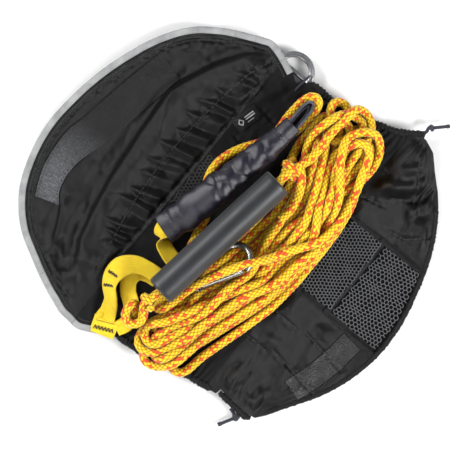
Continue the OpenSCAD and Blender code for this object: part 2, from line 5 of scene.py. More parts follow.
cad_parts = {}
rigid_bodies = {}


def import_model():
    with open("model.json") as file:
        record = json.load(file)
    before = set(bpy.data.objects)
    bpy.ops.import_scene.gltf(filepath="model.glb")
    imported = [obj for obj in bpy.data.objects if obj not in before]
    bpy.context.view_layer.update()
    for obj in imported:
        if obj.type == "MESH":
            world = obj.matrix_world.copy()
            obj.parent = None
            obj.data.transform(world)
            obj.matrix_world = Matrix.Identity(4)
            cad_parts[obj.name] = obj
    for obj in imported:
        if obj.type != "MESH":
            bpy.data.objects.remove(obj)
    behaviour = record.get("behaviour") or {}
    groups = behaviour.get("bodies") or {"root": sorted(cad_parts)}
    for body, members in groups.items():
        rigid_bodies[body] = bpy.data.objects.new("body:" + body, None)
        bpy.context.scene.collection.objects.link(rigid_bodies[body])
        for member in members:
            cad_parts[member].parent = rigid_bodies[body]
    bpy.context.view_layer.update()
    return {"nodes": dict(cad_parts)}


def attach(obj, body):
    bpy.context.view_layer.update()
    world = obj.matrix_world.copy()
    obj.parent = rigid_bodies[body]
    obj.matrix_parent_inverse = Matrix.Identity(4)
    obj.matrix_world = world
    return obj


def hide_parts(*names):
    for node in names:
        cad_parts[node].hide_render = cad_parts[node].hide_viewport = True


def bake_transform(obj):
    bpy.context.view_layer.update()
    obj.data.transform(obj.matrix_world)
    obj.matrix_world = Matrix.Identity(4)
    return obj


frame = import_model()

RNG = np.random.default_rng(7)
MM = 0.001
NODES = frame["nodes"]
scene = bpy.context.scene

# ------------------------------------------------------------------ camera
TURN = math.radians(-51.0)
cam_data = bpy.data.cameras.new("photo_camera")
cam_data.sensor_width = 36.0
cam_data.lens = 195.7
cam = bpy.data.objects.new("photo_camera", cam_data)
cam.location = (-0.0088, 0.0039, 2.02)
cam.rotation_euler = (0.0, 0.0, TURN)
scene.collection.objects.link(cam)
scene.camera = cam


# ------------------------------------------------------------------ small maths
def smooth(t):
    t = np.clip(t, 0.0, 1.0)
    return t * t * (3 - 2 * t)


def lerp(a, b, t):
    return a + (b - a) * t


def lookup(v, table):
    t = sorted(table)
    return np.interp(v, [p[0] for p in t], [p[1] for p in t])


def catmull(points, step=None, n=None):
    """Smooth curve through the points, resampled evenly."""
    p = np.array(points, float)
    q = np.vstack([2 * p[0] - p[1], p, 2 * p[-1] - p[-2]])
    out = []
    for i in range(1, len(q) - 2):
        a, b, c, d = q[i - 1], q[i], q[i + 1], q[i + 2]
        ta = np.linalg.norm(b - a) ** 0.5 + 1e-9
        tb = np.linalg.norm(c - b) ** 0.5 + 1e-9
        tc = np.linalg.norm(d - c) ** 0.5 + 1e-9
        m1 = (b - a) / ta - (c - a) / (ta + tb) + (c - b) / tb
        m2 = (c - b) / tb - (d - b) / (tb + tc) + (d - c) / tc
        m1 *= tb
        m2 *= tb
        for k in range(16):
            t = k / 16
            out.append((2 * t**3 - 3 * t**2 + 1) * b + (t**3 - 2 * t**2 + t) * m1
                       + (-2 * t**3 + 3 * t**2) * c + (t**3 - t**2) * m2)
    out.append(q[-2])
    out = np.array(out)
    return resample(out, step, n)


def resample(p, step=None, n=None):
    s = np.concatenate([[0], np.cumsum(np.linalg.norm(np.diff(p, axis=0), axis=1))])
    if n is None:
        n = max(2, int(round(s[-1] / step)) + 1)
    t = np.linspace(0, s[-1], n)
    return np.stack([np.interp(t, s, p[:, k]) for k in range(p.shape[1])], 1)


def length_of(p):
    return float(np.linalg.norm(np.diff(p, axis=0), axis=1).sum())


def soften(p, times=1):
    p = p.copy()
    for _ in range(times):
        p[1:-1] = 0.25 * p[:-2] + 0.5 * p[1:-1] + 0.25 * p[2:]
    return p


def waves(seed, size, count=14, dims=2):
    """A smooth, repeatable noise of about unit height and the given feature size, in mm."""
    r = np.random.default_rng(seed)
    d = r.normal(size=(count, dims))
    d /= np.linalg.norm(d, axis=1)[:, None]
    k = d * (2 * math.pi / (size * r.uniform(0.7, 1.6, count)))[:, None]
    ph = r.uniform(0, 2 * math.pi, count)

    def f(*c):
        v = 0.0
        for i in range(count):
            a = ph[i]
            for j in range(dims):
                a = a + k[i, j] * c[j]
            v = v + np.sin(a)
        return v / math.sqrt(count / 2) * 0.5
    return f


def along(x, y, line):
    """Distance of the points x, y from an open line, the way along it, and the side (+ is to its left)."""
    p = np.array(line, float)
    best = np.full(np.shape(x), 1e9)
    way = np.zeros(np.shape(x))
    side = np.zeros(np.shape(x))
    s0 = 0.0
    for a, b in zip(p[:-1], p[1:]):
        d = b - a
        n = np.linalg.norm(d)
        t = np.clip(((x - a[0]) * d[0] + (y - a[1]) * d[1]) / n**2, 0, 1)
        ex, ey = x - a[0] - t * d[0], y - a[1] - t * d[1]
        r = np.hypot(ex, ey)
        m = r < best
        best = np.where(m, r, best)
        way = np.where(m, s0 + t * n, way)
        side = np.where(m, np.sign(d[0] * ey - d[1] * ex), side)
        s0 += n
    return best, way, side


def crease(x, y, line, left, right, height, fade=12):
    """A ridge along a line: left and right are the widths of its two slopes."""
    d, s, side = along(x, y, line)
    total = length_of(np.array(line, float))
    w = np.where(side >= 0, left, right)
    ends = smooth(s / fade) * smooth((total - s) / fade)
    return height * np.exp(-(d / w) ** 2) * ends


# ------------------------------------------------------------------ meshes
def link(me, name):
    ob = bpy.data.objects.new(name, me)
    scene.collection.objects.link(ob)
    return ob


def make(name, verts, faces, mats, uv=None, face_mat=None, smooth_shade=True):
    """verts in mm; uv one pair to each vertex (mm) or one list to each face corner."""
    verts = np.array(verts, float)
    verts[:, 2] = np.maximum(verts[:, 2], 0.03)      # nothing sinks into the table
    me = bpy.data.meshes.new(name)
    v = np.asarray(verts, float) * MM
    me.from_pydata([tuple(p) for p in v], [], [tuple(int(i) for i in f) for f in faces])
    mats = mats if isinstance(mats, (list, tuple)) else [mats]
    for m in mats:
        me.materials.append(m)
    if face_mat is not None:
        me.polygons.foreach_set("material_index", np.asarray(face_mat, np.int32))
    if uv is not None:
        layer = me.uv_layers.new(name="UVMap")
        uv = np.asarray(uv, float)
        if len(uv) == len(v):
            idx = np.empty(len(me.loops), np.int32)
            me.loops.foreach_get("vertex_index", idx)
            co = uv[idx]
        else:
            co = uv
        layer.data.foreach_set("uv", (co * MM).astype(np.float32).ravel())
    if smooth_shade:
        me.polygons.foreach_set("use_smooth", np.ones(len(me.polygons), bool))
    me.update()
    return link(me, name)


class Bag:
    """Collects small pieces into one mesh."""

    def __init__(self):
        self.v, self.f, self.uv, self.m, self.n = [], [], [], [], 0

    def add(self, verts, faces, uv=None, mat=0):
        self.v.append(np.asarray(verts, float))
        self.f += [tuple(int(i) + self.n for i in f) for f in faces]
        self.uv.append(np.zeros((len(verts), 2)) if uv is None else np.asarray(uv, float))
        self.m += [mat] * len(faces)
        self.n += len(verts)

    def done(self, name, mats, smooth_shade=True):
        return make(name, np.vstack(self.v), self.f, mats, np.vstack(self.uv), self.m, smooth_shade)


def frames(p, up=(0, 0, 1)):
    """Tangents and steady side vectors along a line."""
    t = np.gradient(p, axis=0)
    t /= np.linalg.norm(t, axis=1)[:, None] + 1e-12
    a = np.cross(t[0], up)
    if np.linalg.norm(a) < 1e-3:
        a = np.cross(t[0], (1, 0, 0))
    a /= np.linalg.norm(a)
    side = [a]
    for i in range(1, len(p)):
        v = side[-1] - t[i] * np.dot(side[-1], t[i])
        v /= np.linalg.norm(v) + 1e-12
        side.append(v)
    side = np.array(side)
    return t, side, np.cross(t, side)


def tube_parts(p, radius, sides=10, caps=True, bumps=None, a=None, b=None, side=None):
    """Ring mesh along p. radius: number or one per point. a, b: half widths instead of radius."""
    n = len(p)
    t, u, w = frames(p)
    if side is not None:
        u = side - t * np.sum(side * t, 1)[:, None]
        u /= np.linalg.norm(u, axis=1)[:, None]
        w = np.cross(t, u)
    ra = np.broadcast_to(radius if a is None else a, (n,)).astype(float)
    rb = np.broadcast_to(radius if b is None else b, (n,)).astype(float)
    ang = np.linspace(0, 2 * math.pi, sides, endpoint=False)
    r = np.ones((n, sides)) if bumps is None else bumps
    v = (p[:, None, :] + (ra[:, None] * r * np.cos(ang)[None])[..., None] * u[:, None, :]
         + (rb[:, None] * r * np.sin(ang)[None])[..., None] * w[:, None, :]).reshape(-1, 3)
    s = np.concatenate([[0], np.cumsum(np.linalg.norm(np.diff(p, axis=0), axis=1))])
    f, uv = [], []
    for i in range(n - 1):
        for j in range(sides):
            k = (j + 1) % sides
            f.append((i * sides + j, i * sides + k, (i + 1) * sides + k, (i + 1) * sides + j))
            uv += [(j / sides, s[i]), ((j + 1) / sides, s[i]), ((j + 1) / sides, s[i + 1]), (j / sides, s[i + 1])]
    if caps:
        for i, rev in ((0, True), (n - 1, False)):
            c = len(v)
            v = np.vstack([v, p[i][None]])
            for j in range(sides):
                k = (j + 1) % sides
                q = (c, i * sides + k, i * sides + j) if rev else (c, i * sides + j, i * sides + k)
                f.append(q)
                uv += [(0.5, s[i]), (0.5, s[i]), (0.5, s[i])]
    return v, f, np.array(uv, float), s


def tube(name, p, radius, mat, sides=10, **kw):
    v, f, uv, s = tube_parts(p, radius, sides, **kw)
    uv = uv * np.array([1000.0, 1.0])
    ob = make(name, v, f, mat, None)
    layer = ob.data.uv_layers.new(name="UVMap")
    layer.data.foreach_set("uv", (uv * MM).astype(np.float32).ravel())
    return ob


def ribbon_parts(p, side, width, thick, cols=8, edge=0.35, crown=0.0):
    """A strap along p, flat along side, with rounded edges: closed section."""
    n = len(p)
    t = np.gradient(p, axis=0)
    t /= np.linalg.norm(t, axis=1)[:, None] + 1e-12
    side = np.broadcast_to(side, (n, 3)).astype(float)
    side = side - t * np.sum(side * t, 1)[:, None]
    side /= np.linalg.norm(side, axis=1)[:, None]
    nor = np.cross(t, side)
    w = np.broadcast_to(width, (n,)).astype(float)
    x = np.linspace(-0.5, 0.5, cols + 1)
    h = thick / 2 * (1 - edge * np.abs(2 * x) ** 6) + crown * (1 - (2 * x) ** 2)
    hb = -thick / 2 * (1 - edge * np.abs(2 * x) ** 6) + crown * (1 - (2 * x) ** 2)
    ring_x = np.concatenate([x, x[::-1]])
    ring_h = np.concatenate([h, hb[::-1]])
    m = len(ring_x)
    v = (p[:, None] + (w[:, None] * ring_x[None])[..., None] * side[:, None]
         + ring_h[None, :, None] * nor[:, None]).reshape(-1, 3)
    s = np.concatenate([[0], np.cumsum(np.linalg.norm(np.diff(p, axis=0), axis=1))])
    uv = np.stack([np.broadcast_to(ring_x * np.mean(w), (n, m)), np.broadcast_to(s[:, None], (n, m))], -1).reshape(-1, 2)
    f = []
    for i in range(n - 1):
        for j in range(m):
            k = (j + 1) % m
            f.append((i * m + j, (i + 1) * m + j, (i + 1) * m + k, i * m + k))
    f.append(tuple(range(m)))
    f.append(tuple((n - 1) * m + j for j in range(m - 1, -1, -1)))
    return v, f, uv


def fix_normals(ob):
    bm = bmesh.new()
    bm.from_mesh(ob.data)
    bmesh.ops.recalc_face_normals(bm, faces=bm.faces)
    bm.to_mesh(ob.data)
    bm.free()
    ob.data.update()
    return ob


def panel(name, xs, ys, zf, mat, thick=1.2, uvf=None):
    """A sheet of fabric over rows of x, y (rows x columns), thick mm thick, zf(x, y) its top."""
    z = zf(xs, ys)
    r, c = xs.shape
    top = np.stack([xs, ys, z], -1)
    e1 = np.gradient(top, axis=1)
    e0 = np.gradient(top, axis=0)
    nn = np.cross(e1, e0)
    nn /= np.linalg.norm(nn, axis=2)[..., None] + 1e-12
    nn *= np.sign(nn[..., 2:3] + 1e-9)
    low = top - nn * thick
    v = np.vstack([top.reshape(-1, 3), low.reshape(-1, 3)])
    uv = np.stack([xs, ys], -1).reshape(-1, 2)
    uv = np.vstack([uv, uv])
    n = r * c
    i, j = np.meshgrid(np.arange(r - 1), np.arange(c - 1), indexing="ij")
    a = (i * c + j).ravel()
    q = np.stack([a, a + 1, a + c + 1, a + c], 1)
    up = np.cross(top[0, 1] - top[0, 0], top[1, 0] - top[0, 0])[2] > 0
    if not up:
        q = q[:, ::-1]
    f = [tuple(t) for t in q] + [tuple(t + n) for t in q[:, ::-1]]
    rim = [k for k in range(c - 1)] + [k * c + c - 1 for k in range(r - 1)] \
        + [(r - 1) * c + k for k in range(c - 1, 0, -1)] + [k * c for k in range(r - 1, 0, -1)]
    for k in range(len(rim)):
        a, b = rim[k], rim[(k + 1) % len(rim)]
        f.append((b, a, a + n, b + n) if up else (a, b, b + n, a + n))
    ob = make(name, v, f, mat, uv)
    me = ob.data
    ed = np.empty(len(me.edges) * 2, np.int32)
    me.edges.foreach_get("vertices", ed)
    ed = ed.reshape(-1, 2)
    on_rim = np.zeros(2 * n, bool)
    on_rim[rim] = True
    on_rim[np.array(rim) + n] = True
    ii, jj = ed[:, 0], ed[:, 1]
    grid_i, grid_j = ii % n, jj % n
    same_row = (np.abs(grid_i - grid_j) == 1) | (np.abs(grid_i - grid_j) == c)
    both = on_rim[ii] & on_rim[jj] & ((ii < n) == (jj < n)) & same_row
    at = me.attributes.get("sharp_edge") or me.attributes.new("sharp_edge", "BOOLEAN", "EDGE")
    at.data.foreach_set("value", both)
    return ob


# ------------------------------------------------------------------ materials
def lin(c):
    return tuple(((x / 255) / 12.92 if x / 255 <= 0.04045 else ((x / 255 + 0.055) / 1.055) ** 2.4) for x in c) + (1.0,)


class Mat:
    def __init__(self, name, rough=0.6, metal=0.0, **inputs):
        self.m = bpy.data.materials.new(name)
        self.m.use_nodes = True
        self.t = self.m.node_tree
        self.b = self.t.nodes["Principled BSDF"]
        self.set(**{"Roughness": rough, "Metallic": metal})
        self.set(**inputs)

    def set(self, **inputs):
        for k, v in inputs.items():
            s = self.b.inputs[k.replace("_", " ")]
            if isinstance(v, bpy.types.NodeSocket):
                self.t.links.new(v, s)
            else:
                s.default_value = v

    def node(self, kind, props=(), **inputs):
        n = self.t.nodes.new(kind)
        for k, v in dict(props).items():
            setattr(n, k, v)
        for k, v in inputs.items():
            s = n.inputs[int(k[1:])] if k[0] == "i" and k[1:].isdigit() else n.inputs[k.replace("_", " ")]
            if isinstance(v, bpy.types.NodeSocket):
                self.t.links.new(v, s)
            else:
                s.default_value = v
        return n

    def math(self, op, a, b=0.0, c=0.0, clamp=False):
        return self.node("ShaderNodeMath", {"operation": op, "use_clamp": clamp}, i0=a, i1=b, i2=c).outputs[0]

    def uv(self):
        n = self.node("ShaderNodeUVMap")
        n.uv_map = "UVMap"
        x = self.node("ShaderNodeSeparateXYZ", Vector=n.outputs[0])
        return n.outputs[0], x.outputs[0], x.outputs[1]

    def obj(self):
        n = self.node("ShaderNodeTexCoord").outputs["Object"]
        x = self.node("ShaderNodeSeparateXYZ", Vector=n)
        return n, x.outputs[0], x.outputs[1], x.outputs[2]

    def noise(self, vec, scale, detail=3.0, rough=0.55):
        return self.node("ShaderNodeTexNoise", Vector=vec, Scale=scale, Detail=detail, Roughness=rough).outputs[0]

    def ramp(self, fac, stops):
        n = self.node("ShaderNodeValToRGB", Fac=fac)
        e = n.color_ramp.elements
        e[0].position, e[0].color = stops[0]
        e[1].position, e[1].color = stops[-1]
        for p, c in stops[1:-1]:
            x = e.new(p)
            x.color = c
        return n.outputs[0]

    def mix(self, fac, a, b, mode="MIX"):
        n = self.t.nodes.new("ShaderNodeMix")
        n.data_type = "RGBA"
        n.blend_type = mode
        for s, v in ((n.inputs[0], fac), (n.inputs[6], a), (n.inputs[7], b)):
            if isinstance(v, bpy.types.NodeSocket):
                self.t.links.new(v, s)
            else:
                s.default_value = v
        return n.outputs[2]

    def bump(self, height, strength, distance, normal=None):
        kw = dict(Height=height, Strength=strength, Distance=distance)
        n = self.node("ShaderNodeBump", **kw)
        if normal is not None:
            self.t.links.new(normal, n.inputs["Normal"])
        self.t.links.new(n.outputs[0], self.b.inputs["Normal"])
        return n.outputs[0]


def fabric_mat(name, dark, light, pitch=0.55, rough=0.55, sheen=0.25, weave=0.35, paler_amount=0.5, spec=0.2):
    """Coated plain-weave nylon: thread grid, soft mottling, dusty lighter patches and a low sheen."""
    g = Mat(name, rough=rough)
    vec, u, v = g.uv()
    k = 2 * math.pi / (pitch * MM)
    su = g.math("SINE", g.math("MULTIPLY", u, k))
    sv = g.math("SINE", g.math("MULTIPLY", v, k))
    weave_h = g.math("MULTIPLY", su, sv)
    w01 = g.math("MULTIPLY_ADD", weave_h, 0.5, 0.5)
    broad = g.noise(vec, 22.0, 4.0, 0.6)
    fine = g.noise(vec, 420.0, 3.0, 0.65)
    fac = g.math("ADD", g.math("MULTIPLY", broad, paler_amount), g.math("MULTIPLY", fine, 0.35))
    fac = g.math("ADD", fac, g.math("MULTIPLY", w01, 0.18))
    col = g.ramp(fac, [(0.30, lin(dark)), (0.62, lin([(a * 2 + b) / 3 for a, b in zip(dark, light)])), (0.95, lin(light))])
    g.set(Base_Color=col, Roughness=g.math("MULTIPLY_ADD", fine, 0.22, rough - 0.11))
    h = g.math("ADD", g.math("MULTIPLY", weave_h, 0.5), g.math("MULTIPLY", fine, 1.2))
    g.bump(h, weave, 0.0003)
    g.set(**{"Sheen Weight": sheen * 0.08, "Sheen Roughness": 0.4, "Specular IOR Level": spec})
    return g.m


def webbing_mat(name, dark, mid, light, rough=0.6, rib=1.25, row=0.9, sheen=0.3, spec=0.4):
    """Woven strap: fine chevron ribs along the length, with a noisy tone."""
    g = Mat(name, rough=rough)
    vec, u, v = g.uv()
    saw = g.math("PINGPONG", u, rib * 2 * MM)
    ph = g.math("ADD", g.math("MULTIPLY", v, 2 * math.pi / (row * MM)), g.math("MULTIPLY", saw, 2 * math.pi / (rib * MM)))
    tw = g.math("MULTIPLY_ADD", g.math("SINE", ph), 0.5, 0.5)
    ribs = g.math("MULTIPLY_ADD", g.math("SINE", g.math("MULTIPLY", u, 2 * math.pi / (rib * MM))), 0.5, 0.5)
    n = g.noise(vec, 90.0, 4.0, 0.6)
    f = g.math("ADD", g.math("MULTIPLY", tw, 0.45), g.math("MULTIPLY", ribs, 0.18))
    f = g.math("ADD", f, g.math("MULTIPLY", n, 0.5))
    g.set(Base_Color=g.ramp(f, [(0.2, lin(dark)), (0.55, lin(mid)), (0.9, lin(light))]),
          Roughness=g.math("MULTIPLY_ADD", n, 0.2, rough - 0.1))
    g.bump(g.math("ADD", tw, g.math("MULTIPLY", ribs, 0.6)), 0.6, 0.00035)
    g.set(**{"Sheen Weight": sheen, "Sheen Roughness": 0.4, "Specular IOR Level": spec})
    return g.m


def rope_mat():
    """Twelve-carrier hollow braid, yellow with paired orange tracer picks; painted highlights on the picks' crowns and
    painted shade in the gaps between them.
    """
    g = Mat("rope_braid", rough=0.62)
    vec, u, v = g.uv()
    pitch = 4.6 * MM
    a = g.math("ADD", g.math("MULTIPLY", u, 6.0), g.math("DIVIDE", v, pitch))
    b = g.math("SUBTRACT", g.math("DIVIDE", v, pitch), g.math("MULTIPLY", u, 6.0))
    ia, ib = g.math("FLOOR", a), g.math("FLOOR", b)
    fa, fb = g.math("FRACT", a), g.math("FRACT", b)
    par = g.math("MODULO", g.math("ABSOLUTE", g.math("ADD", ia, ib)), 2.0)       # which carrier is on top
    # the pick runs along one diagonal: lens across the other
    across = g.math("ADD", g.math("MULTIPLY", fa, g.math("SUBTRACT", 1.0, par)), g.math("MULTIPLY", fb, par))
    way = g.math("ADD", g.math("MULTIPLY", fb, g.math("SUBTRACT", 1.0, par)), g.math("MULTIPLY", fa, par))
    c1 = g.math("SUBTRACT", 1.0, g.math("POWER", g.math("ABSOLUTE", g.math("MULTIPLY_ADD", across, 2.0, -1.0)), 2.4))
    c2 = g.math("SUBTRACT", 1.0, g.math("POWER", g.math("ABSOLUTE", g.math("MULTIPLY_ADD", way, 2.0, -1.0)), 3.0))
    lens = g.math("MULTIPLY", c1, g.math("MULTIPLY_ADD", c2, 0.65, 0.35))
    yarn = g.math("MULTIPLY_ADD", g.math("SINE", g.math("MULTIPLY", across, 2 * math.pi * 4)), 0.5, 0.5)
    # tracers: two neighbouring carriers one way, one the other way
    ma = g.math("FLOORED_MODULO", ia, 6.0)
    mb = g.math("FLOORED_MODULO", ib, 6.0)
    ta = g.math("MULTIPLY", g.math("LESS_THAN", ma, 1.5), g.math("SUBTRACT", 1.0, par))
    tb = g.math("MULTIPLY", g.math("COMPARE", mb, 3.0, 0.4), par)
    # each tracer only shows in short flashes along the rope
    gate = g.math("LESS_THAN", g.math("FLOORED_MODULO", g.math("ADD", ib, g.math("MULTIPLY", ia, 3.0)), 5.0), 3.2)
    tr = g.math("MULTIPLY", g.math("ADD", ta, tb, clamp=True), gate)
    n = g.noise(vec, 160.0, 3.0, 0.6)
    n2 = g.noise(g.obj()[0], 14.0, 2.0, 0.5)
    # shade: painted highlight on each pick's crown and painted shade in the gaps, mixed with random tone noise
    shade = g.math("MULTIPLY_ADD", lens, 0.62, g.math("MULTIPLY", n, 0.22))
    shade = g.math("ADD", shade, g.math("MULTIPLY_ADD", n2, 0.30, -0.02))
    yel = g.ramp(shade, [(0.14, lin((92, 58, 0))), (0.42, lin((200, 146, 0))), (0.70, lin((242, 196, 4))), (1.0, lin((255, 228, 50)))])
    ora = g.ramp(shade, [(0.10, lin((120, 20, 2))), (0.5, lin((214, 62, 8))), (0.95, lin((240, 104, 24)))])
    # painted shade: ambient occlusion darkens the colour towards (84, 50, 0) in the crevices between strands and picks
    ao = g.t.nodes.new("ShaderNodeAmbientOcclusion")
    ao.samples = 6
    ao.inputs["Distance"].default_value = 0.007
    painted_gap_shade = g.math("POWER", ao.outputs["AO"], 1.3)
    body = g.mix(tr, yel, ora)
    g.set(Base_Color=g.mix(painted_gap_shade, g.mix(0.62, body, lin((84, 50, 0)), "MIX"), body))
    g.set(Roughness=g.math("MULTIPLY_ADD", n, 0.25, 0.45))
    g.bump(g.math("ADD", lens, g.math("MULTIPLY", yarn, 0.10)), 0.7, 0.0006)
    g.set(**{"Sheen Weight": 0.35, "Sheen Roughness": 0.4, "Specular IOR Level": 0.35, "Subsurface Weight": 0.0})
    return g.m


def foam_mat():
    g = Mat("foam_skin", rough=0.46)
    vec, x, y, z = g.obj()
    cell = g.node("ShaderNodeTexVoronoi", Vector=vec, Scale=1400.0).outputs[0]
    n = g.noise(vec, 30.0, 4.0, 0.6)
    n3 = g.noise(vec, 600.0, 2.0, 0.6)
    col = g.ramp(g.math("ADD", g.math("MULTIPLY", n, 0.7), g.math("MULTIPLY", n3, 0.3)),
                 [(0.3, lin((14, 16, 19))), (0.6, lin((22, 25, 30))), (0.9, lin((36, 40, 48)))])
    g.set(Base_Color=col, Roughness=g.math("MULTIPLY_ADD", n, 0.2, 0.36))
    g.bump(g.math("ADD", cell, g.math("MULTIPLY", n3, 0.6)), 0.25, 0.0002)
    g.set(**{"Sheen Weight": 0.2, "Specular IOR Level": 0.5, "Coat Weight": 0.08, "Coat Roughness": 0.4})
    return g.m


def metal_mat(name, dark, light, rough=0.25, brushed=True):
    g = Mat(name, rough=rough, metal=1.0)
    vec, x, y, z = g.obj()
    n = g.noise(vec, 60.0, 5.0, 0.65)
    sc = g.node("ShaderNodeMapping", Vector=vec, Scale=(40.0, 40.0, 900.0)).outputs[0]
    br = g.noise(sc, 18.0, 3.0, 0.6)
    f = g.math("ADD", g.math("MULTIPLY", n, 0.6), g.math("MULTIPLY", br, 0.4))
    g.set(Base_Color=g.ramp(f, [(0.3, lin(dark)), (0.6, lin(light))]), Roughness=g.math("MULTIPLY_ADD", f, 0.3, rough - 0.12))
    bv = g.node("ShaderNodeBevel", {"samples": 4}, Radius=0.0012).outputs[0]
    g.bump(g.math("ADD", br, n), 0.12, 0.0002, bv)
    return g.m


def pile_mat(name, dark, light, hooks=False):
    """Loop or hook tape: a field of small loops, or rows of hooks."""
    g = Mat(name, rough=0.55)
    vec, u, v = g.uv()
    vo = g.node("ShaderNodeTexVoronoi", Vector=vec, Scale=1100.0 if not hooks else 800.0)
    d = vo.outputs[0]
    n = g.noise(vec, 25.0, 4.0, 0.6)
    n2 = g.noise(vec, 260.0, 4.0, 0.7)
    f = g.math("ADD", g.math("MULTIPLY", d, 0.55), g.math("MULTIPLY", n, 0.5))
    f = g.math("ADD", f, g.math("MULTIPLY", n2, 0.25))
    g.set(Base_Color=g.ramp(f, [(0.3, lin(dark)), (0.95, lin(light))]), Roughness=g.math("MULTIPLY_ADD", n2, 0.3, 0.35))
    g.bump(g.math("ADD", d, n2), 0.7, 0.0006)
    g.set(**{"Sheen Weight": 0.5, "Sheen Roughness": 0.3, "Specular IOR Level": 0.6})
    return g.m


def loop_mat():
    """Brushed loop tape: the pile lies across the strip; its left half is painted paler, a painted shine."""
    g = Mat("loop_pile", rough=0.45)
    vec, u, v = g.uv()
    comb = g.node("ShaderNodeMapping", Vector=vec, Rotation=(0.0, 0.0, math.radians(20.0)), Scale=(2600.0, 160.0, 1.0)).outputs[0]
    streak = g.noise(comb, 1.0, 4.0, 0.65)
    dots = g.node("ShaderNodeTexVoronoi", Vector=vec, Scale=1000.0).outputs[0]
    broad = g.noise(vec, 60.0, 3.0, 0.6)
    # painted shine: the strip's left half, from u = -12 mm to -60 mm, is painted paler, varied by broad noise
    n = g.node("ShaderNodeMapRange", {"clamp": True}, Value=u)
    n.inputs["From Min"].default_value = -0.012
    n.inputs["From Max"].default_value = -0.060
    paler_amount = g.math("MULTIPLY", n.outputs[0], g.math("MULTIPLY_ADD", broad, 0.8, 0.45))
    f = g.math("ADD", g.math("MULTIPLY", streak, 0.55), g.math("MULTIPLY", dots, 0.2))
    low = g.ramp(f, [(0.2, lin((8, 8, 9))), (0.8, lin((34, 34, 36)))])
    # painted shine colours for the paler left half
    painted_shine_col = g.ramp(f, [(0.25, lin((22, 22, 24))), (0.7, lin((142, 144, 148)))])
    g.set(Base_Color=g.mix(paler_amount, low, painted_shine_col), Roughness=g.math("MULTIPLY_ADD", streak, 0.4, 0.3))
    g.bump(g.math("ADD", streak, g.math("MULTIPLY", dots, 0.8)), 0.8, 0.0006)
    g.set(**{"Sheen Weight": 0.15, "Sheen Roughness": 0.3, "Specular IOR Level": 0.3})
    return g.m


def binding_mat():
    """Light grey retroreflective tape over a woven backing."""
    g = Mat("binding_tape", rough=0.5)
    vec, u, v = g.uv()
    t = g.math("MULTIPLY_ADD", g.math("SINE", g.math("MULTIPLY", v, 2 * math.pi / (0.7 * MM))), 0.5, 0.5)
    w = g.math("MULTIPLY_ADD", g.math("SINE", g.math("MULTIPLY", u, 2 * math.pi / (0.6 * MM))), 0.5, 0.5)
    bead = g.node("ShaderNodeTexVoronoi", Vector=vec, Scale=2500.0).outputs[0]
    n = g.noise(vec, 60.0, 4.0, 0.65)
    f = g.math("ADD", g.math("MULTIPLY", n, 0.8), g.math("MULTIPLY", g.math("MULTIPLY", t, w), 0.25))
    g.set(Base_Color=g.ramp(f, [(0.25, lin((112, 113, 114))), (0.55, lin((156, 157, 158))), (0.9, lin((196, 197, 197)))]),
          Roughness=g.math("MULTIPLY_ADD", n, 0.25, 0.34))
    g.bump(g.math("ADD", g.math("MULTIPLY", t, w), g.math("MULTIPLY", bead, 0.4)), 0.4, 0.00025)
    g.set(**{"Sheen Weight": 0.05, "Specular IOR Level": 0.35})
    return g.m


def thread_mat(name, dark, light, rough=0.5):
    g = Mat(name, rough=rough)
    vec, x, y, z = g.obj()
    n = g.noise(vec, 900.0, 3.0, 0.6)
    tw = g.math("MULTIPLY_ADD", g.math("SINE", g.math("MULTIPLY", g.math("ADD", x, y), 2 * math.pi / (0.35 * MM))), 0.5, 0.5)
    f = g.math("ADD", g.math("MULTIPLY", n, 0.7), g.math("MULTIPLY", tw, 0.4))
    g.set(Base_Color=g.ramp(f, [(0.2, lin(dark)), (0.9, lin(light))]))
    g.bump(tw, 0.4, 0.00015)
    g.set(**{"Sheen Weight": 0.3})
    return g.m


M_BASE = fabric_mat("nylon_shell", (6, 6, 7), (22, 22, 24), spec=0.16)
M_LID = fabric_mat("nylon_lining", (7, 7, 8), (24, 24, 26), rough=0.38, sheen=0.3, spec=0.24)
M_FRONT = fabric_mat("nylon_front", (6, 6, 7), (21, 21, 23), rough=0.38, spec=0.24)
# painted shade: a near-black matte sheet, without sheen, for the shaded pocket behind the nets
M_POCKET_SHADE = fabric_mat("pocket_shade_sheet", (3, 3, 4), (9, 9, 10), rough=0.8, sheen=0.0, spec=0.1)
M_NET = thread_mat("net_yarn", (40, 40, 43), (112, 113, 119), 0.38)
M_NETREAR = thread_mat("net_yarn_fine", (26, 26, 27), (54, 54, 57), 0.5)
M_HEM = fabric_mat("nylon_hem", (9, 9, 10), (30, 30, 33), pitch=0.7, rough=0.46, sheen=0.3, weave=0.5)
M_BIND = binding_mat()
M_LOOPSHINE = loop_mat()
M_HOOK = pile_mat("hook_pile", (3, 3, 4), (14, 14, 16), hooks=True)
M_YWEB = webbing_mat("webbing_yellow", (170, 128, 0), (248, 208, 6), (255, 236, 60))
M_DWEB = webbing_mat("webbing_dark", (16, 17, 22), (44, 48, 60), (104, 112, 134), rough=0.42, rib=0.9, row=0.7, spec=0.6)
M_SLEEVE = fabric_mat("sleeve_satin", (8, 6, 18), (33, 28, 58), pitch=0.5, rough=0.36, sheen=0.5, weave=0.22, paler_amount=0.6, spec=0.6)
M_BUNGEE = webbing_mat("bungee_cover", (20, 20, 22), (40, 40, 44), (80, 80, 86), rib=0.8, row=0.8)
M_ROPE = rope_mat()
M_FOAM = foam_mat()
M_STEEL = metal_mat("steel_polished", (84, 82, 76), (164, 162, 154), 0.22)
M_ALLOY = metal_mat("alloy_satin", (104, 105, 108), (178, 179, 182), 0.3)
M_THREAD = thread_mat("thread_black", (2, 2, 3), (12, 12, 14), 0.8)
M_THREADG = thread_mat("thread_grey", (44, 44, 47), (84, 84, 90))
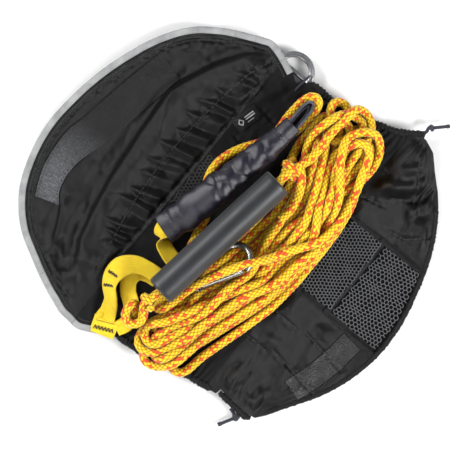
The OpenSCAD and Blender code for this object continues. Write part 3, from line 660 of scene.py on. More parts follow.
M_LABEL = fabric_mat("label_satin", (3, 3, 4), (14, 14, 16), pitch=0.4, rough=0.35, sheen=0.5)
M_LABELW = thread_mat("label_thread_pale", (150, 150, 152), (214, 214, 216))
M_ELAST = webbing_mat("elastic_cord_cover", (14, 14, 20), (34, 34, 46), (70, 72, 92), rib=0.7, row=0.6)

# ------------------------------------------------------------------ outlines, as in the CAD source (mm)
BASE_Z, LOBE_Z, FT = 10.4, 2.6, 1.6
LID_L = [(62, -146.5), (68, -146), (80, -141.5), (87, -139), (112, -127.5), (137, -112), (156, -90), (167, -63), (172, -34)]
LID_R = [(62, 128.5), (73, 130.5), (80, 128), (87, 125), (112, 113), (131, 98), (147, 75), (158, 49), (166, 22), (172, -34)]
LID_ARC = [(-127, 115), (-112, 137), (-90, 156), (-63, 167), (-34, 172), (-5, 170.5), (22, 166), (49, 158), (75, 147), (98, 131), (112, 115)]
BASE_L = [(-146.5, 61.5), (-147.5, 50), (-141.5, 37), (-134.5, 22), (-132.5, 8), (-131, -8), (-124, -38), (-119, -69.5)]
BASE_R = [(127.5, 61.5), (126, 55), (121.5, 43.5), (117.5, 36.5), (121, 32.5), (125.5, 27), (125.5, 3), (134, -36), (140, -52), (152, -69.5)]
FRONT_L = [(-106, -114), (-101, -118), (-92, -116), (-70, -114)]
FRONT_R = [(-106, 121), (-95, 132), (-84, 143), (-73, 147.5), (-70, 147.5)]
FRONT_ARC = [(-112, -109), (-88, -124), (-65, -138), (-39, -148), (-11, -153), (17, -152), (45, -146), (73, -137), (100, -123), (118, -109)]
base_l = catmull([(x, y) for x, y in BASE_L], n=120)
base_r = catmull([(x, y) for x, y in BASE_R], n=120)
lid_arc = catmull(LID_ARC, n=240)
front_arc = catmull(FRONT_ARC, n=240)


def xl_base(y):
    return np.interp(-y, -base_l[:, 1], base_l[:, 0])


def xr_base(y):
    return np.interp(-y, -base_r[:, 1], base_r[:, 0])


def lid_z(x, y):
    x, y = np.asarray(x, float), np.asarray(y, float)
    d = np.minimum(x - lookup(y, LID_L), lookup(y, LID_R) - x)
    d = np.minimum(d, np.where(y < 112, 99.0, lookup(x, LID_ARC) - y))
    return lerp(BASE_Z, LOBE_Z, smooth((y - 62) / 50)) + 4.0 * smooth(1 - np.maximum(0, d) / 24) * smooth((y - 64) / 20) * smooth((np.abs(y - 112) - 1) / 16)


def front_z(x, y):
    x, y = np.asarray(x, float), np.asarray(y, float)
    d = np.minimum(x - lookup(y, FRONT_L), lookup(y, FRONT_R) - x)
    d = np.minimum(d, np.where(y > -106, 99.0, y - lookup(x, FRONT_ARC)))
    return lerp(BASE_Z, LOBE_Z, smooth((-70 - y) / 36)) + 3.0 * smooth(1 - np.maximum(0, d) / 20) * smooth((-70 - y - 2) / 16) * smooth((np.abs(y + 106) - 1) / 10)


# ------------------------------------------------------------------ the fabric's own relief
n_big, n_mid, n_small = waves(3, 70), waves(5, 26), waves(9, 9)
RIDGE1 = [(-112, 90), (-107, 82), (-98, 85), (-89.5, 90.5), (-65, 97), (-39.5, 101.7), (-8, 105.5), (23, 108), (48, 109.5), (60, 105.5), (85.5, 94), (105.5, 80.5), (119, 68)]
RIDGE2 = [(-110, 105), (-92, 113), (-69.5, 125)]
SEAM_A = [(-103, 66.5), (-75, 72), (-39.5, 78), (0.5, 80.5), (40.5, 79), (73, 75), (98, 70.5), (118, 63)]
SEAM_B = [(-97, 62), (-60, 60.5), (0, 59.5), (60, 58.8), (100, 58.5), (119, 58)]
TAPE_UP = [(-86, 143), (-72, 149.5), (-57, 154), (-30, 156), (-10, 152), (20, 147), (45, 142), (67, 137)]
TAPE_LO = [(-80, 124), (-70, 131), (-50, 134), (-30, 130), (-10, 124), (20, 119), (40, 115.5), (61, 112.5)]


def gather(x, y):
    """Pleats drawn up between the two seams, fading out above the upper one."""
    ya = lookup(x, [(a, b) for a, b in SEAM_A])
    yb = lookup(x, [(a, b) for a, b in SEAM_B])
    u_ = (x + 4.5 * n_mid(x, y * 0.3) + (y - ya) * 0.30) / 15.0 + 0.35 * n_big(x * 0.5, 0 * y)
    tri = np.abs((u_ % 1) * 2 - 1)
    span = smooth((x + 92) / 22) * smooth((124 - x) / 18)
    inside = smooth((y - yb + 1) / 5)
    reach = 15 + 5 * n_big(x * 1.7, 0 * y + 9)
    peak = np.clip(tri - np.clip((y - ya) / reach, 0, 2), 0, 1)
    return (np.where(y > ya, 6.2 * peak, 6.2 * tri * inside) - 1.6 * inside * (y <= ya)) * span * (0.85 + 0.3 * n_mid(x * 0.7, y * 0.2))


def seam_dip(x, y, line, depth=0.7, width=1.3, pucker=6.0):
    d, s, _ = along(x, y, line)
    ends = length_of(np.array(line, float))
    p = 1 + 0.35 * np.sin(2 * math.pi * s / pucker)
    puck = 0.25 * np.exp(-(d / 4.5) ** 2) * np.sin(2 * math.pi * s / pucker + 1.2)
    inside = (s > 0.01) & (s < ends - 0.01) | (d < width)
    lip = 0.5 * depth * np.exp(-((d - 2.7) / 1.5) ** 2)
    return np.where(inside, -1.25 * depth * p * np.exp(-(d / width) ** 2) + puck + lip, 0)


ALLOW = [tuple(p) for p in lid_arc]


def h_lid(x, y):
    x, y = np.asarray(x, float), np.asarray(y, float)
    z = np.where(y < 62, BASE_Z, lid_z(x, y)) + FT
    d = np.minimum(x - lookup(y, LID_L), lookup(y, LID_R) - x)
    d = np.minimum(d, np.where(y < 105, 99.0, lookup(x, LID_ARC) - y))
    edge = smooth((d - 4.5) / 12)
    inner = smooth((y - 60) / 10)
    k = crease(x, y, RIDGE1, 4.0, 21, 9.0, 16) + crease(x, y, RIDGE2, 3.4, 8, 5.2)
    k = k + crease(x, y, [(-130, 98), (-119, 84), (-112, 73)], 4, 7, 3.6) + crease(x, y, [(70, 128), (92, 112), (108, 98)], 6, 5, 2.6)
    k = k + crease(x, y, [(-112, 89), (-100, 99), (-84, 104), (-62, 106)], 4, 7, 3.0) - crease(x, y, [(-118, 92), (-108, 101), (-96, 108)], 4, 4, 2.4)
    k = k + crease(x, y, [(-30, 92), (5, 98), (40, 99)], 6, 9, 1.0) + crease(x, y, [(-95, 76), (-60, 86), (-25, 91)], 5, 8, 1.1)
    k = k + crease(x, y, [(-70, 112), (-30, 118), (10, 118), (50, 116)], 5, 9, -1.6, 20)
    k = k + gather(x, y)
    k = k + inner * (1.4 * n_big(x, y) + 0.9 * n_mid(x, y) + 0.2 * n_small(x, y))
    z = z + edge * k
    # the outer zone is creased in short lines that run in from the binding
    z = z + smooth((y - 66) / 10) * np.exp(-((d - 9) / 5) ** 2) * 0.45 * np.sin(2 * math.pi * (x * 0.8 + y * 0.6 + 3 * n_mid(x, y)) / 7.0)
    z = z + seam_dip(x, y, SEAM_A, 0.9) + seam_dip(x, y, SEAM_B, 0.6)
    z = z + seam_dip(x, y, ALLOW_L, 0.6, 1.0, 7.0)
    return z


inset_arc = []
for q in (0.0,):
    t = np.gradient(lid_arc, axis=0)
    t /= np.linalg.norm(t, axis=1)[:, None]
    inset_arc = lid_arc + 10.0 * np.stack([t[:, 1], -t[:, 0]], 1)
ALLOW_L = [(-132, 70), (-127, 88)] + [tuple(p) for p in inset_arc[6:-6:12]] + [(116, 88), (121, 74)]


def h_base(x, y):
    x, y = np.asarray(x, float), np.asarray(y, float)
    z = np.full(np.broadcast(x, y).shape, BASE_Z + FT)
    e = smooth((57 - y) / 8) * smooth((y + 60) / 8)
    z = z + e * (0.35 * n_big(x, y) + 0.35 * n_mid(x, y) + 0.1 * n_small(x, y))
    z = z + crease(x, y, [(88, 56), (98, 47), (112, 40)], 3.5, 5, 1.8, 8) + crease(x, y, [(96, 36), (108, 33), (120, 26)], 3, 4, 1.5, 8)
    z = z + crease(x, y, [(60, 54), (80, 55), (96, 52)], 2.5, 4, 0.8, 8) + crease(x, y, [(-140, 40), (-126, 52), (-108, 57)], 3, 4, 1.2, 8)
    z = z + seam_dip(x, y, [(50, 32), (52, 50)], 0.4) + seam_dip(x, y, [(80, 30), (83, 46)], 0.4)
    # shirred edge beside the gathered hems
    dl = x - xl_base(y)
    dr = xr_base(y) - x
    shir = smooth((20 - y) / 12)
    z = z + shir * 1.5 * np.exp(-dl / 9) * smooth(dl / 2) * np.sin(2 * math.pi * (y + 2 * n_mid(x, y) + 0.1 * dl) / 5.2)
    z = z + shir * 1.6 * np.exp(-dr / 11) * smooth(dr / 2) * np.sin(2 * math.pi * (y + 2 * n_mid(x, y) - 0.15 * dr) / 5.6)
    return z


FOLDS_F = [([(84, -66), (104, -74), (126, -78), (142, -80)], 5, 8, 2.6), ([(92, -72), (108, -88), (126, -98)], 6, 5, 2.8),
           ([(104, -66), (124, -67), (144, -71)], 4, 6, 2.0), ([(88, -96), (104, -106), (116, -112)], 5, 5, 2.0),
           ([(-112, -78), (-96, -84), (-82, -84)], 4, 7, 1.8), ([(-114, -90), (-100, -98), (-86, -102)], 5, 5, 2.0),
           ([(-104, -108), (-84, -116), (-66, -122)], 5, 6, 1.8), ([(74, -128), (88, -118), (98, -104)], 6, 5, 1.8),
           ([(112, -70), (126, -84), (132, -92)], 3, 5, 2.2), ([(96, -62), (100, -76), (112, -90)], 4, 5, 1.6), ([(70, -112), (86, -108), (100, -92)], 4, 5, 1.7),
           ([(-118, -74), (-104, -72), (-84, -70)], 3, 5, 1.8), ([(-92, -110), (-76, -104), (-60, -100)], 4, 6, 1.4), ([(-30, -120), (-26, -106), (-20, -98)], 4, 6, 1.2),
           ([(-70, -134), (-52, -138), (-36, -141)], 3, 5, 1.2), ([(-60, -66), (-56, -84), (-52, -98)], 5, 7, 1.0)]
SEAMS_F = [[(-66, -60), (-66, -80)], [(-62, -84), (-69.5, -130)], [(-36, -62), (-37, -90)], [(-34.5, -94), (-41, -137)], [(79, -62), (84, -81)],
           [(70.5, -90), (74, -110), (88, -125)], [(93, -81), (103, -99)], [(107, -56), (107, -68)], [(113, -92.5), (130.5, -77.5)],
           [(-9, -68), (-11, -100), (-11, -148)], [(61, -66), (62, -100), (61, -143)]]


def h_front(x, y):
    x, y = np.asarray(x, float), np.asarray(y, float)
    z = np.where(y > -70, BASE_Z, front_z(x, y)) + FT
    dl, dr = x - f_left(y), f_right(y) - x
    da = y - lookup(x, FRONT_ARC)
    edge = smooth((np.minimum(np.minimum(dl, dr), da) - 2.5) / 9)
    e = smooth((-60 - y) / 10)
    k = 0.0
    for line, p, q, h in FOLDS_F:
            k = k + crease(x, y, line, p, q, 2.4 * h)
    k = k + e * (1.3 * n_big(x + 300, y) + 0.9 * n_mid(x + 300, y) + 0.2 * n_small(x + 300, y))
    # pleats fanning in from the gathered side edges
    k = k + smooth((-62 - y) / 6) * 2.2 * np.exp(-dr / 16) * np.sin(2 * math.pi * (y + 0.25 * dr + 3 * n_mid(x, y)) / 9.0) * smooth((y + 112) / 8)
    k = k + smooth((-62 - y) / 6) * 1.8 * np.exp(-dl / 14) * np.sin(2 * math.pi * (y - 0.25 * dl + 3 * n_mid(x, y)) / 7.0) * smooth((y + 112) / 8)
    z = z + edge * k
    for s in SEAMS_F:
        z = z + seam_dip(x, y, s, 0.7, 1.1)
    # the net window hangs a little, and pinches along the wall's second fold
    win = smooth((x + 12) / 4) * smooth((64 - x) / 4)
    z = z - 0.9 * win * smooth((-66 - y) / 6) + win * crease(x, y, [(-10, -97.5), (20, -99), (44, -98), (62, -96)], 3, 4, 2.2, 6)
    z = z - win * crease(x, y, [(-10, -103), (20, -104), (44, -103), (62, -101)], 2.2, 2.2, 1.4, 6)
    return z


# ------------------------------------------------------------------ panels
STEP = 1.2
NX = int(290 / STEP)


def rows_between(y0, y1, lf, rf, inset=1.0, step=STEP):
    ny = max(4, int(abs(y1 - y0) / step))
    ys = np.linspace(y0, y1, ny + 1)
    a, b = lf(ys) + inset, rf(ys) - inset
    nx = NX
    u = np.linspace(0, 1, nx + 1)
    x = a[:, None] * (1 - u)[None] + b[:, None] * u[None]
    return x, np.broadcast_to(ys[:, None], x.shape).copy()


def shell_parts(inner, outer, step=STEP):
    """Rows from the inner line to the outer one, both sampled alike."""
    span = np.max(np.linalg.norm(outer - inner, axis=1))
    nv = int(span / step)
    v = np.linspace(0, 1, nv + 1)[:, None, None]
    g = inner[None] * (1 - v) + outer[None] * v
    return g[..., 0], g[..., 1]


def ends(line, n):
    return resample(np.array(line, float), n=n)


CUT_A, CUT_B, CUT_C, CUT_D = 56.5, 101.0, -60.0, -95.0


def f_left(y):
    return np.where(y > -70, xl_base(y), lookup(y, FRONT_L))


def f_right(y):
    return np.where(y > -70, xr_base(y), lookup(y, FRONT_R))


bx, by = rows_between(CUT_A, CUT_C, xl_base, xr_base)
hem_keep = by
base = panel("panel_back", bx, by, h_base, M_BASE)
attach(base, "bag")
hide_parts("back_panel")


def lid_left(y):
    return np.where(y < 62, xl_base(y), lookup(y, LID_L))


def lid_right(y):
    return np.where(y < 62, xr_base(y), lookup(y, LID_R))


gx, gy = rows_between(CUT_A, CUT_B, lid_left, lid_right)
gusset = panel("panel_lid_gusset", gx, gy, h_lid, M_LID)
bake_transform(gusset)
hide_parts("lid_gusset", "gather_tape")

nu = NX + 1
arc_in = ends(np.vstack([[(float(lookup(112, LID_L)) + 0.5, 112)], lid_arc[4:-4], [(float(lookup(112, LID_R)) - 0.5, 112)]]), nu)
t = np.gradient(arc_in, axis=0)
t /= np.linalg.norm(t, axis=1)[:, None]
arc_in = arc_in + 1.0 * np.stack([t[:, 1], -t[:, 0]], 1)
inner_line = np.stack([np.linspace(float(lid_left(np.array(CUT_B))) + 1, float(lid_right(np.array(CUT_B))) - 1, nu), np.full(nu, CUT_B)], 1)
lx, ly = shell_parts(inner_line, arc_in)
lid = panel("panel_lid_flap", lx, ly, h_lid, M_LID)
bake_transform(lid)
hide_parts("lid_flap")


fx_, fy_ = rows_between(CUT_C, CUT_D, f_left, f_right)
fgus = panel("panel_front_gusset", fx_, fy_, h_front, M_FRONT)
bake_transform(fgus)
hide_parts("front_gusset")
nf_ = NX + 1
farc = ends(np.vstack([[(-114, -107)], front_arc[6:-6], [(120.5, -107)]]), nf_)
finner = np.stack([np.linspace(float(f_left(np.array(CUT_D))) + 1, float(f_right(np.array(CUT_D))) - 1, nf_), np.full(nf_, CUT_D)], 1)
px, py = shell_parts(finner, farc)
fflap = panel("panel_front_flap", px, py, h_front, M_FRONT)
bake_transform(fflap)
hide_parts("front_flap")

# ------------------------------------------------------------------ net: hexagons of thick yarn
def net(name, inside, hf, cell, yarn, mat, lift=0.6, turn=0.0, stretch=1.0, wob=0.25):
    out = Bag()
    r = cell / math.sqrt(3)
    seen = set()
    ct, st = math.cos(turn), math.sin(turn)
    pts_x = np.arange(-90, 90)
    edges = []
    for i in range(-70, 71):
        for j in range(-60, 61):
            cx, cy = cell * (i + 0.5 * (j % 2)), 1.5 * r * j
            for k in range(3):
                a0, a1 = math.radians(30 + 60 * k), math.radians(90 + 60 * k)
                a = (cx + r * math.cos(a0), cy + r * math.sin(a0))
                b = (cx + r * math.cos(a1), cy + r * math.sin(a1))
                edges.append((a, b))
    e = np.array(edges)                                   # n, 2, 2
    e = np.stack([e[..., 0] * ct - e[..., 1] * st * stretch, e[..., 0] * st + e[..., 1] * ct * stretch], -1)
    cx0, cy0 = inside["centre"]
    e = e + np.array([cx0, cy0])
    jog = waves(17, 14)
    e[..., 0] += wob * jog(e[..., 0], e[..., 1])
    e[..., 1] += wob * jog(e[..., 1] + 50, e[..., 0])
    ok = inside["test"](e[:, 0, 0], e[:, 0, 1]) & inside["test"](e[:, 1, 0], e[:, 1, 1])
    e = e[ok]
    mid = e.mean(1)
    line = np.stack([e[:, 0], mid, e[:, 1]], 1)            # n, 3, 2
    z = hf(line[..., 0], line[..., 1]) + lift
    z[:, 1] += 0.12
    p = np.concatenate([line, z[..., None]], -1)
    t_ = p[:, 2] - p[:, 0]
    t_ /= np.linalg.norm(t_, axis=1)[:, None]
    s_ = np.cross(t_, (0, 0, 1.0))
    s_ /= np.linalg.norm(s_, axis=1)[:, None]
    w_ = np.cross(s_, t_)
    sides = 6
    ang = np.linspace(0, 2 * math.pi, sides, endpoint=False)
    rad = np.array([1.25, 0.9, 1.25]) * yarn
    ring = (p[:, :, None, :] + rad[None, :, None, None] * (np.cos(ang)[None, None, :, None] * s_[:, None, None, :]
            + 0.7 * np.sin(ang)[None, None, :, None] * w_[:, None, None, :]))
    n = len(p)
    v = ring.reshape(-1, 3)
    f = []
    base_i = (np.arange(n) * 3 * sides)
    for b0 in base_i:
        for i in range(2):
            for j in range(sides):
                k = (j + 1) % sides
                f.append((b0 + i * sides + j, b0 + (i + 1) * sides + j, b0 + (i + 1) * sides + k, b0 + i * sides + k))
        f.append(tuple(b0 + j for j in range(sides)))
        f.append(tuple(b0 + 2 * sides + j for j in range(sides - 1, -1, -1)))
    return make(name, v, f, mat, v[:, :2])


up = net("net_upper", {"centre": (26, -84), "test": lambda x, y: (x > -9) & (x < 61) & (y < -66.5) & (y > -99.5)}, h_front, 3.0, 0.30, M_NET, 0.5, 0.1, 1.0, 0.55)
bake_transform(up)
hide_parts("mesh_upper")
lo = net("net_lower", {"centre": (24, -124), "test": lambda x, y: (x > -11) & (x < 61) & (y < -101.5) & (y > lookup(x, FRONT_ARC) + 4.5)}, h_front, 3.1, 0.31, M_NET, 0.5, -0.25, 1.12, 0.6)
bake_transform(lo)
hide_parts("mesh_lower")
rear = net("net_back", {"centre": (4, 46), "test": lambda x, y: (x > -21) & (x < 29) & (y > 34.5) & (y < 56)}, h_base, 3.1, 0.34, M_NETREAR, 0.35, 0.2)
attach(rear, "bag")
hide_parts("back_mesh")


def patch(name, line_a, line_b, hf, mat, lift, thick=0.6, n=60, m=10, crown=0.0):
    """A strip between two lines, lying on the surface hf."""
    a, b = catmull(line_a, n=n), catmull(line_b, n=n)
    v = np.linspace(0, 1, m)[:, None, None]
    g = a[None] * (1 - v) + b[None] * v
    x, y = g[..., 0], g[..., 1]
    cr_ = crown * (1 - (2 * np.linspace(0, 1, m)[:, None] - 1) ** 4)
    ob = panel(name, x, y, lambda X, Y: hf(X, Y) + lift + (cr_ if X.shape == x.shape else 0), mat, thick)
    return ob


# dark sheet under the net windows: painted shade of the pocket seen through the net
for nm, a, b, hf, body in (("backing_upper", [(-10.5, -65), (62, -64)], [(-11, -99), (62.5, -98)], h_front, 1),
                           ("backing_lower", [(-11, -101), (62, -101)], [(-12.5, -147), (20, -149), (61, -139.5)], h_front, 2)):
    if nm == "backing_lower":
        xs_ = np.linspace(-12.5, 61.5, 60)
        b = [(x, float(lookup(x, FRONT_ARC)) + 3.5) for x in xs_[::6]] + [(61.5, float(lookup(61.5, FRONT_ARC)) + 3.5)]
        a = [(x, -101) for x in xs_[::6]] + [(61.5, -101)]
    pb = patch(nm, a, b, hf, M_POCKET_SHADE, 0.12, 0.4, 50, 24)
    if body == 1:
        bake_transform(pb)
    else:
        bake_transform(pb)

# taped edges of the windows
for nm, line, w, hf, body in (("window_tape_left", [(-10.5, -64), (-11, -80), (-11, -94.5)], 4.5, h_front, 1),
                              ("window_tape_right", [(61.5, -63), (62, -80), (62, -94.5)], 4.5, h_front, 1),
                              ("window_tape_left_low", [(-11, -95.5), (-12, -120), (-12.5, -147)], 4.5, h_front, 2),
                              ("window_tape_right_low", [(62, -95.5), (62, -120), (61.5, -139)], 4.5, h_front, 2)):
    ln = catmull(line, n=40)
    tt = np.gradient(ln, axis=0)
    tt /= np.linalg.norm(tt, axis=1)[:, None]
    nn_ = np.stack([-tt[:, 1], tt[:, 0]], 1)
    pb = patch(nm, [tuple(q) for q in ln + nn_ * w / 2], [tuple(q) for q in ln - nn_ * w / 2], hf, M_HEM, 1.0, 0.7, 40, 5, 0.2)
    if body == 1:
        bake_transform(pb)
    else:
        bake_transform(pb)

# ------------------------------------------------------------------ hook and loop
loop = patch("tape_loop", TAPE_UP, TAPE_LO, h_lid, M_LOOPSHINE, 1.1, 1.0, 150, 24, 0.25)
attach(loop, "lid")
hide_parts("loop_tape")
hk = catmull([(-78, -116), (-56, -123), (-36, -127), (-17, -129)], n=60)
tt = np.gradient(hk, axis=0)
tt /= np.linalg.norm(tt, axis=1)[:, None]
nn_ = np.stack([-tt[:, 1], tt[:, 0]], 1)
hook = patch("tape_hook", [tuple(q) for q in hk + nn_ * 9], [tuple(q) for q in hk - nn_ * 9], h_front, M_HOOK, 0.9, 0.9, 80, 16, 0.2)
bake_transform(hook)
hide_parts("hook_tape")


# ------------------------------------------------------------------ binding
def inward(line, d, right=True):
    t_ = np.gradient(line, axis=0)
    t_ /= np.linalg.norm(t_, axis=1)[:, None]
    n_ = np.stack([t_[:, 1], -t_[:, 0]], 1) * (1 if right else -1)
    return line + n_ * d, n_


def binding(name, line, hf, lift=0.1, width=5.4, right=True, wrinkle=0.25):
    """Folded tape over the raw edge: rounded outside, flat on top, its inner edge sewn down."""
    c, n_ = inward(line, width / 2 - 0.3, right)
    z = hf(c[:, 0], c[:, 1]) + lift - 0.2
    p = np.concatenate([c, z[:, None]], 1)
    s_ = np.concatenate([n_, np.zeros((len(n_), 1))], 1)
    # side vector follows the cloth's slope
    z_in = hf(*(c + n_ * 2).T)
    z_out = hf(*(c - n_ * 2).T)
    s_[:, 2] = np.clip((z_in - z_out) / 4, -0.6, 0.6)
    p[:, 2] += wrinkle * np.sin(np.arange(len(p)) * 0.55 + 2 * n_mid(c[:, 0], c[:, 1]))
    v, f, uv = ribbon_parts(p, s_, width, 2.7, cols=8, edge=0.5)
    return fix_normals(make(name, v, f, M_BIND, uv))


def h_edge(x, y):
    return np.where(np.asarray(y) < 62, BASE_Z + FT, lid_z(x, y) + FT)


full_l = catmull([(x, y) for x, y in [(-135.2, 23.5), (-141.5, 37), (-147.5, 50), (-146.5, 61.5), (-146, 68), (-141.5, 80), (-139, 87), (-127.5, 112)]] + [(-112, 137), (-90, 156), (-63, 167),
                 (-34, 172), (-5, 170.5), (22, 166), (49, 158), (75, 147), (98, 131), (113, 112), (125, 87), (128, 80), (130.5, 73), (128.5, 62), (126, 55), (121.5, 44.5)], step=1.4)


def piece(line, y0, y1, side):
    m = (line[:, 1] >= y0) & (line[:, 1] <= y1) & ((line[:, 0] < 0) if side < 0 else (line[:, 0] > 0) if side > 0 else np.ones(len(line), bool))
    return line[m]


b_cl = binding("binding_corner_left_tape", piece(full_l, 0, CUT_A, -1), h_edge)
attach(b_cl, "bag")
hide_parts("binding_corner_left")
b_cr = binding("binding_corner_right_tape", piece(full_l, 0, CUT_A, 1), h_edge)
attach(b_cr, "bag")
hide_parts("binding_corner_right")
b_sl = binding("binding_side_left_tape", piece(full_l, CUT_A - 0.8, CUT_B, -1), h_edge)
b_sr = binding("binding_side_right_tape", piece(full_l, CUT_A - 0.8, CUT_B, 1), h_edge)
for b_, nd in ((b_sl, "binding_side_left"), (b_sr, "binding_side_right")):
    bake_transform(b_)
    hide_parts(nd)
b_li = binding("binding_lid_tape", piece(full_l, CUT_B - 0.8, 400, 0), h_edge)
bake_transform(b_li)
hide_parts("lid_binding")


# ------------------------------------------------------------------ gathered hems
def gathered(name, line, z0, r0, mat, seed, flat=0.85, fold=3.4):
    """A casing bunched up along its elastic: uneven pleats all round."""
    p = np.concatenate([line, np.full((len(line), 1), z0)], 1) if line.shape[1] == 2 else line
    p = resample(p, step=0.55)
    sides = 20
    n = len(p)
    s_ = np.arange(n)[:, None] * 0.55
    a_ = np.linspace(0, 2 * math.pi, sides, endpoint=False)[None]
    w1, w2 = waves(seed, 9, dims=1), waves(seed + 1, 4, dims=1)
    r = 1 + 0.13 * np.sin(2 * math.pi * (s_ + 1.6 * w1(s_) + 0.9 * np.sin(a_ + w1(s_) * 2)) / fold) \
        + 0.06 * np.sin(2 * math.pi * s_ / (fold * 0.47) + 3 * np.sin(2 * a_ + 1)) + 0.06 * w1(s_ * 1.3 + 40) + 0.05 * np.sin(3 * a_ + s_ * 0.35)
    endt = smooth(s_ / 4) * smooth((n * 0.55 - s_) / 4)
    r = r * (0.72 + 0.28 * endt)
    v, f, uv, _ = tube_parts(p, r0, sides, True, r, a=np.full(n, r0), b=np.full(n, r0 * flat))
    ob = make(name, v, f, mat, None)
    layer = ob.data.uv_layers.new(name="UVMap")
    layer.data.foreach_set("uv", (uv * np.array([20.0, 1.0]) * MM).astype(np.float32).ravel())
    return ob


hl = base_l[(base_l[:, 1] < 21) & (base_l[:, 1] > -66)]
hl, _ = inward(hl, 2.2, right=False)
hem_l = gathered("hem_side_left", hl, 10.6, 3.1, M_HEM, 31)
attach(hem_l, "bag")
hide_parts("side_hem_left", "elastic_left_rear")
hr = base_r[(base_r[:, 1] < 27.5) & (base_r[:, 1] > -64)]
hr, _ = inward(hr, 2.2, right=True)
hem_r = gathered("hem_side_right", np.vstack([hr, [(148.6, -66.8)]]), 10.6, 3.1, M_HEM, 37)
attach(hem_r, "bag")
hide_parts("side_hem_right")
fl_l = catmull([(-115.6, -71.5), (-116.4, -82), (-117.2, -92), (-118.0, -99), (-116.5, -104)], n=40)
fl_z = front_z(fl_l[:, 0] + 1, fl_l[:, 1]) + 0.6
hem_f = gathered("hem_front_left", np.concatenate([fl_l, np.maximum(fl_z, 3.2)[:, None]], 1), 0, 2.6, M_HEM, 41)
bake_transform(hem_f)
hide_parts("front_hem_left")
ea = front_arc[8:-8]
ea, _ = inward(ea, 2.0, right=False)
ez = front_z(ea[:, 0], ea[:, 1]) + 0.9
hem_e = gathered("hem_front_edge", np.concatenate([ea, ez[:, None]], 1), 0, 2.1, M_HEM, 43, 0.62, 7.0)
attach(hem_e, "front")
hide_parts("front_edge_hem")

# ------------------------------------------------------------------ the rope
ROPE_R = 3.5
TOP = 12.0                                   # top of the back panel, mm
FC = np.array([-18.5, 7.2, 40.3])            # float centre and axis
FX = np.array([math.cos(math.radians(-8.3)), math.sin(math.radians(-8.3)), 0.0])

# from the tether's eye, round the eye, in at the float's left end
START = [(-112, 19.4, 25.5), (-104, 24.6, 29), (-98, 25.5, 33), (-104, 28.5, 35.5), (-111, 28.0, 33), (-117, 25, 31), (-118.6, 19.6, 31), (-115, 14.4, 31.4),
         (-107, 12.5, 32.4), (-101, 15.8, 36), (-99.5, 22, 38.8)]
LEFT = [tuple(FC + FX * s) for s in (-72, -66)]
FLOAT = [tuple(FC + FX * s) for s in (-50, -25, 0, 25, 50, 66, 72)]
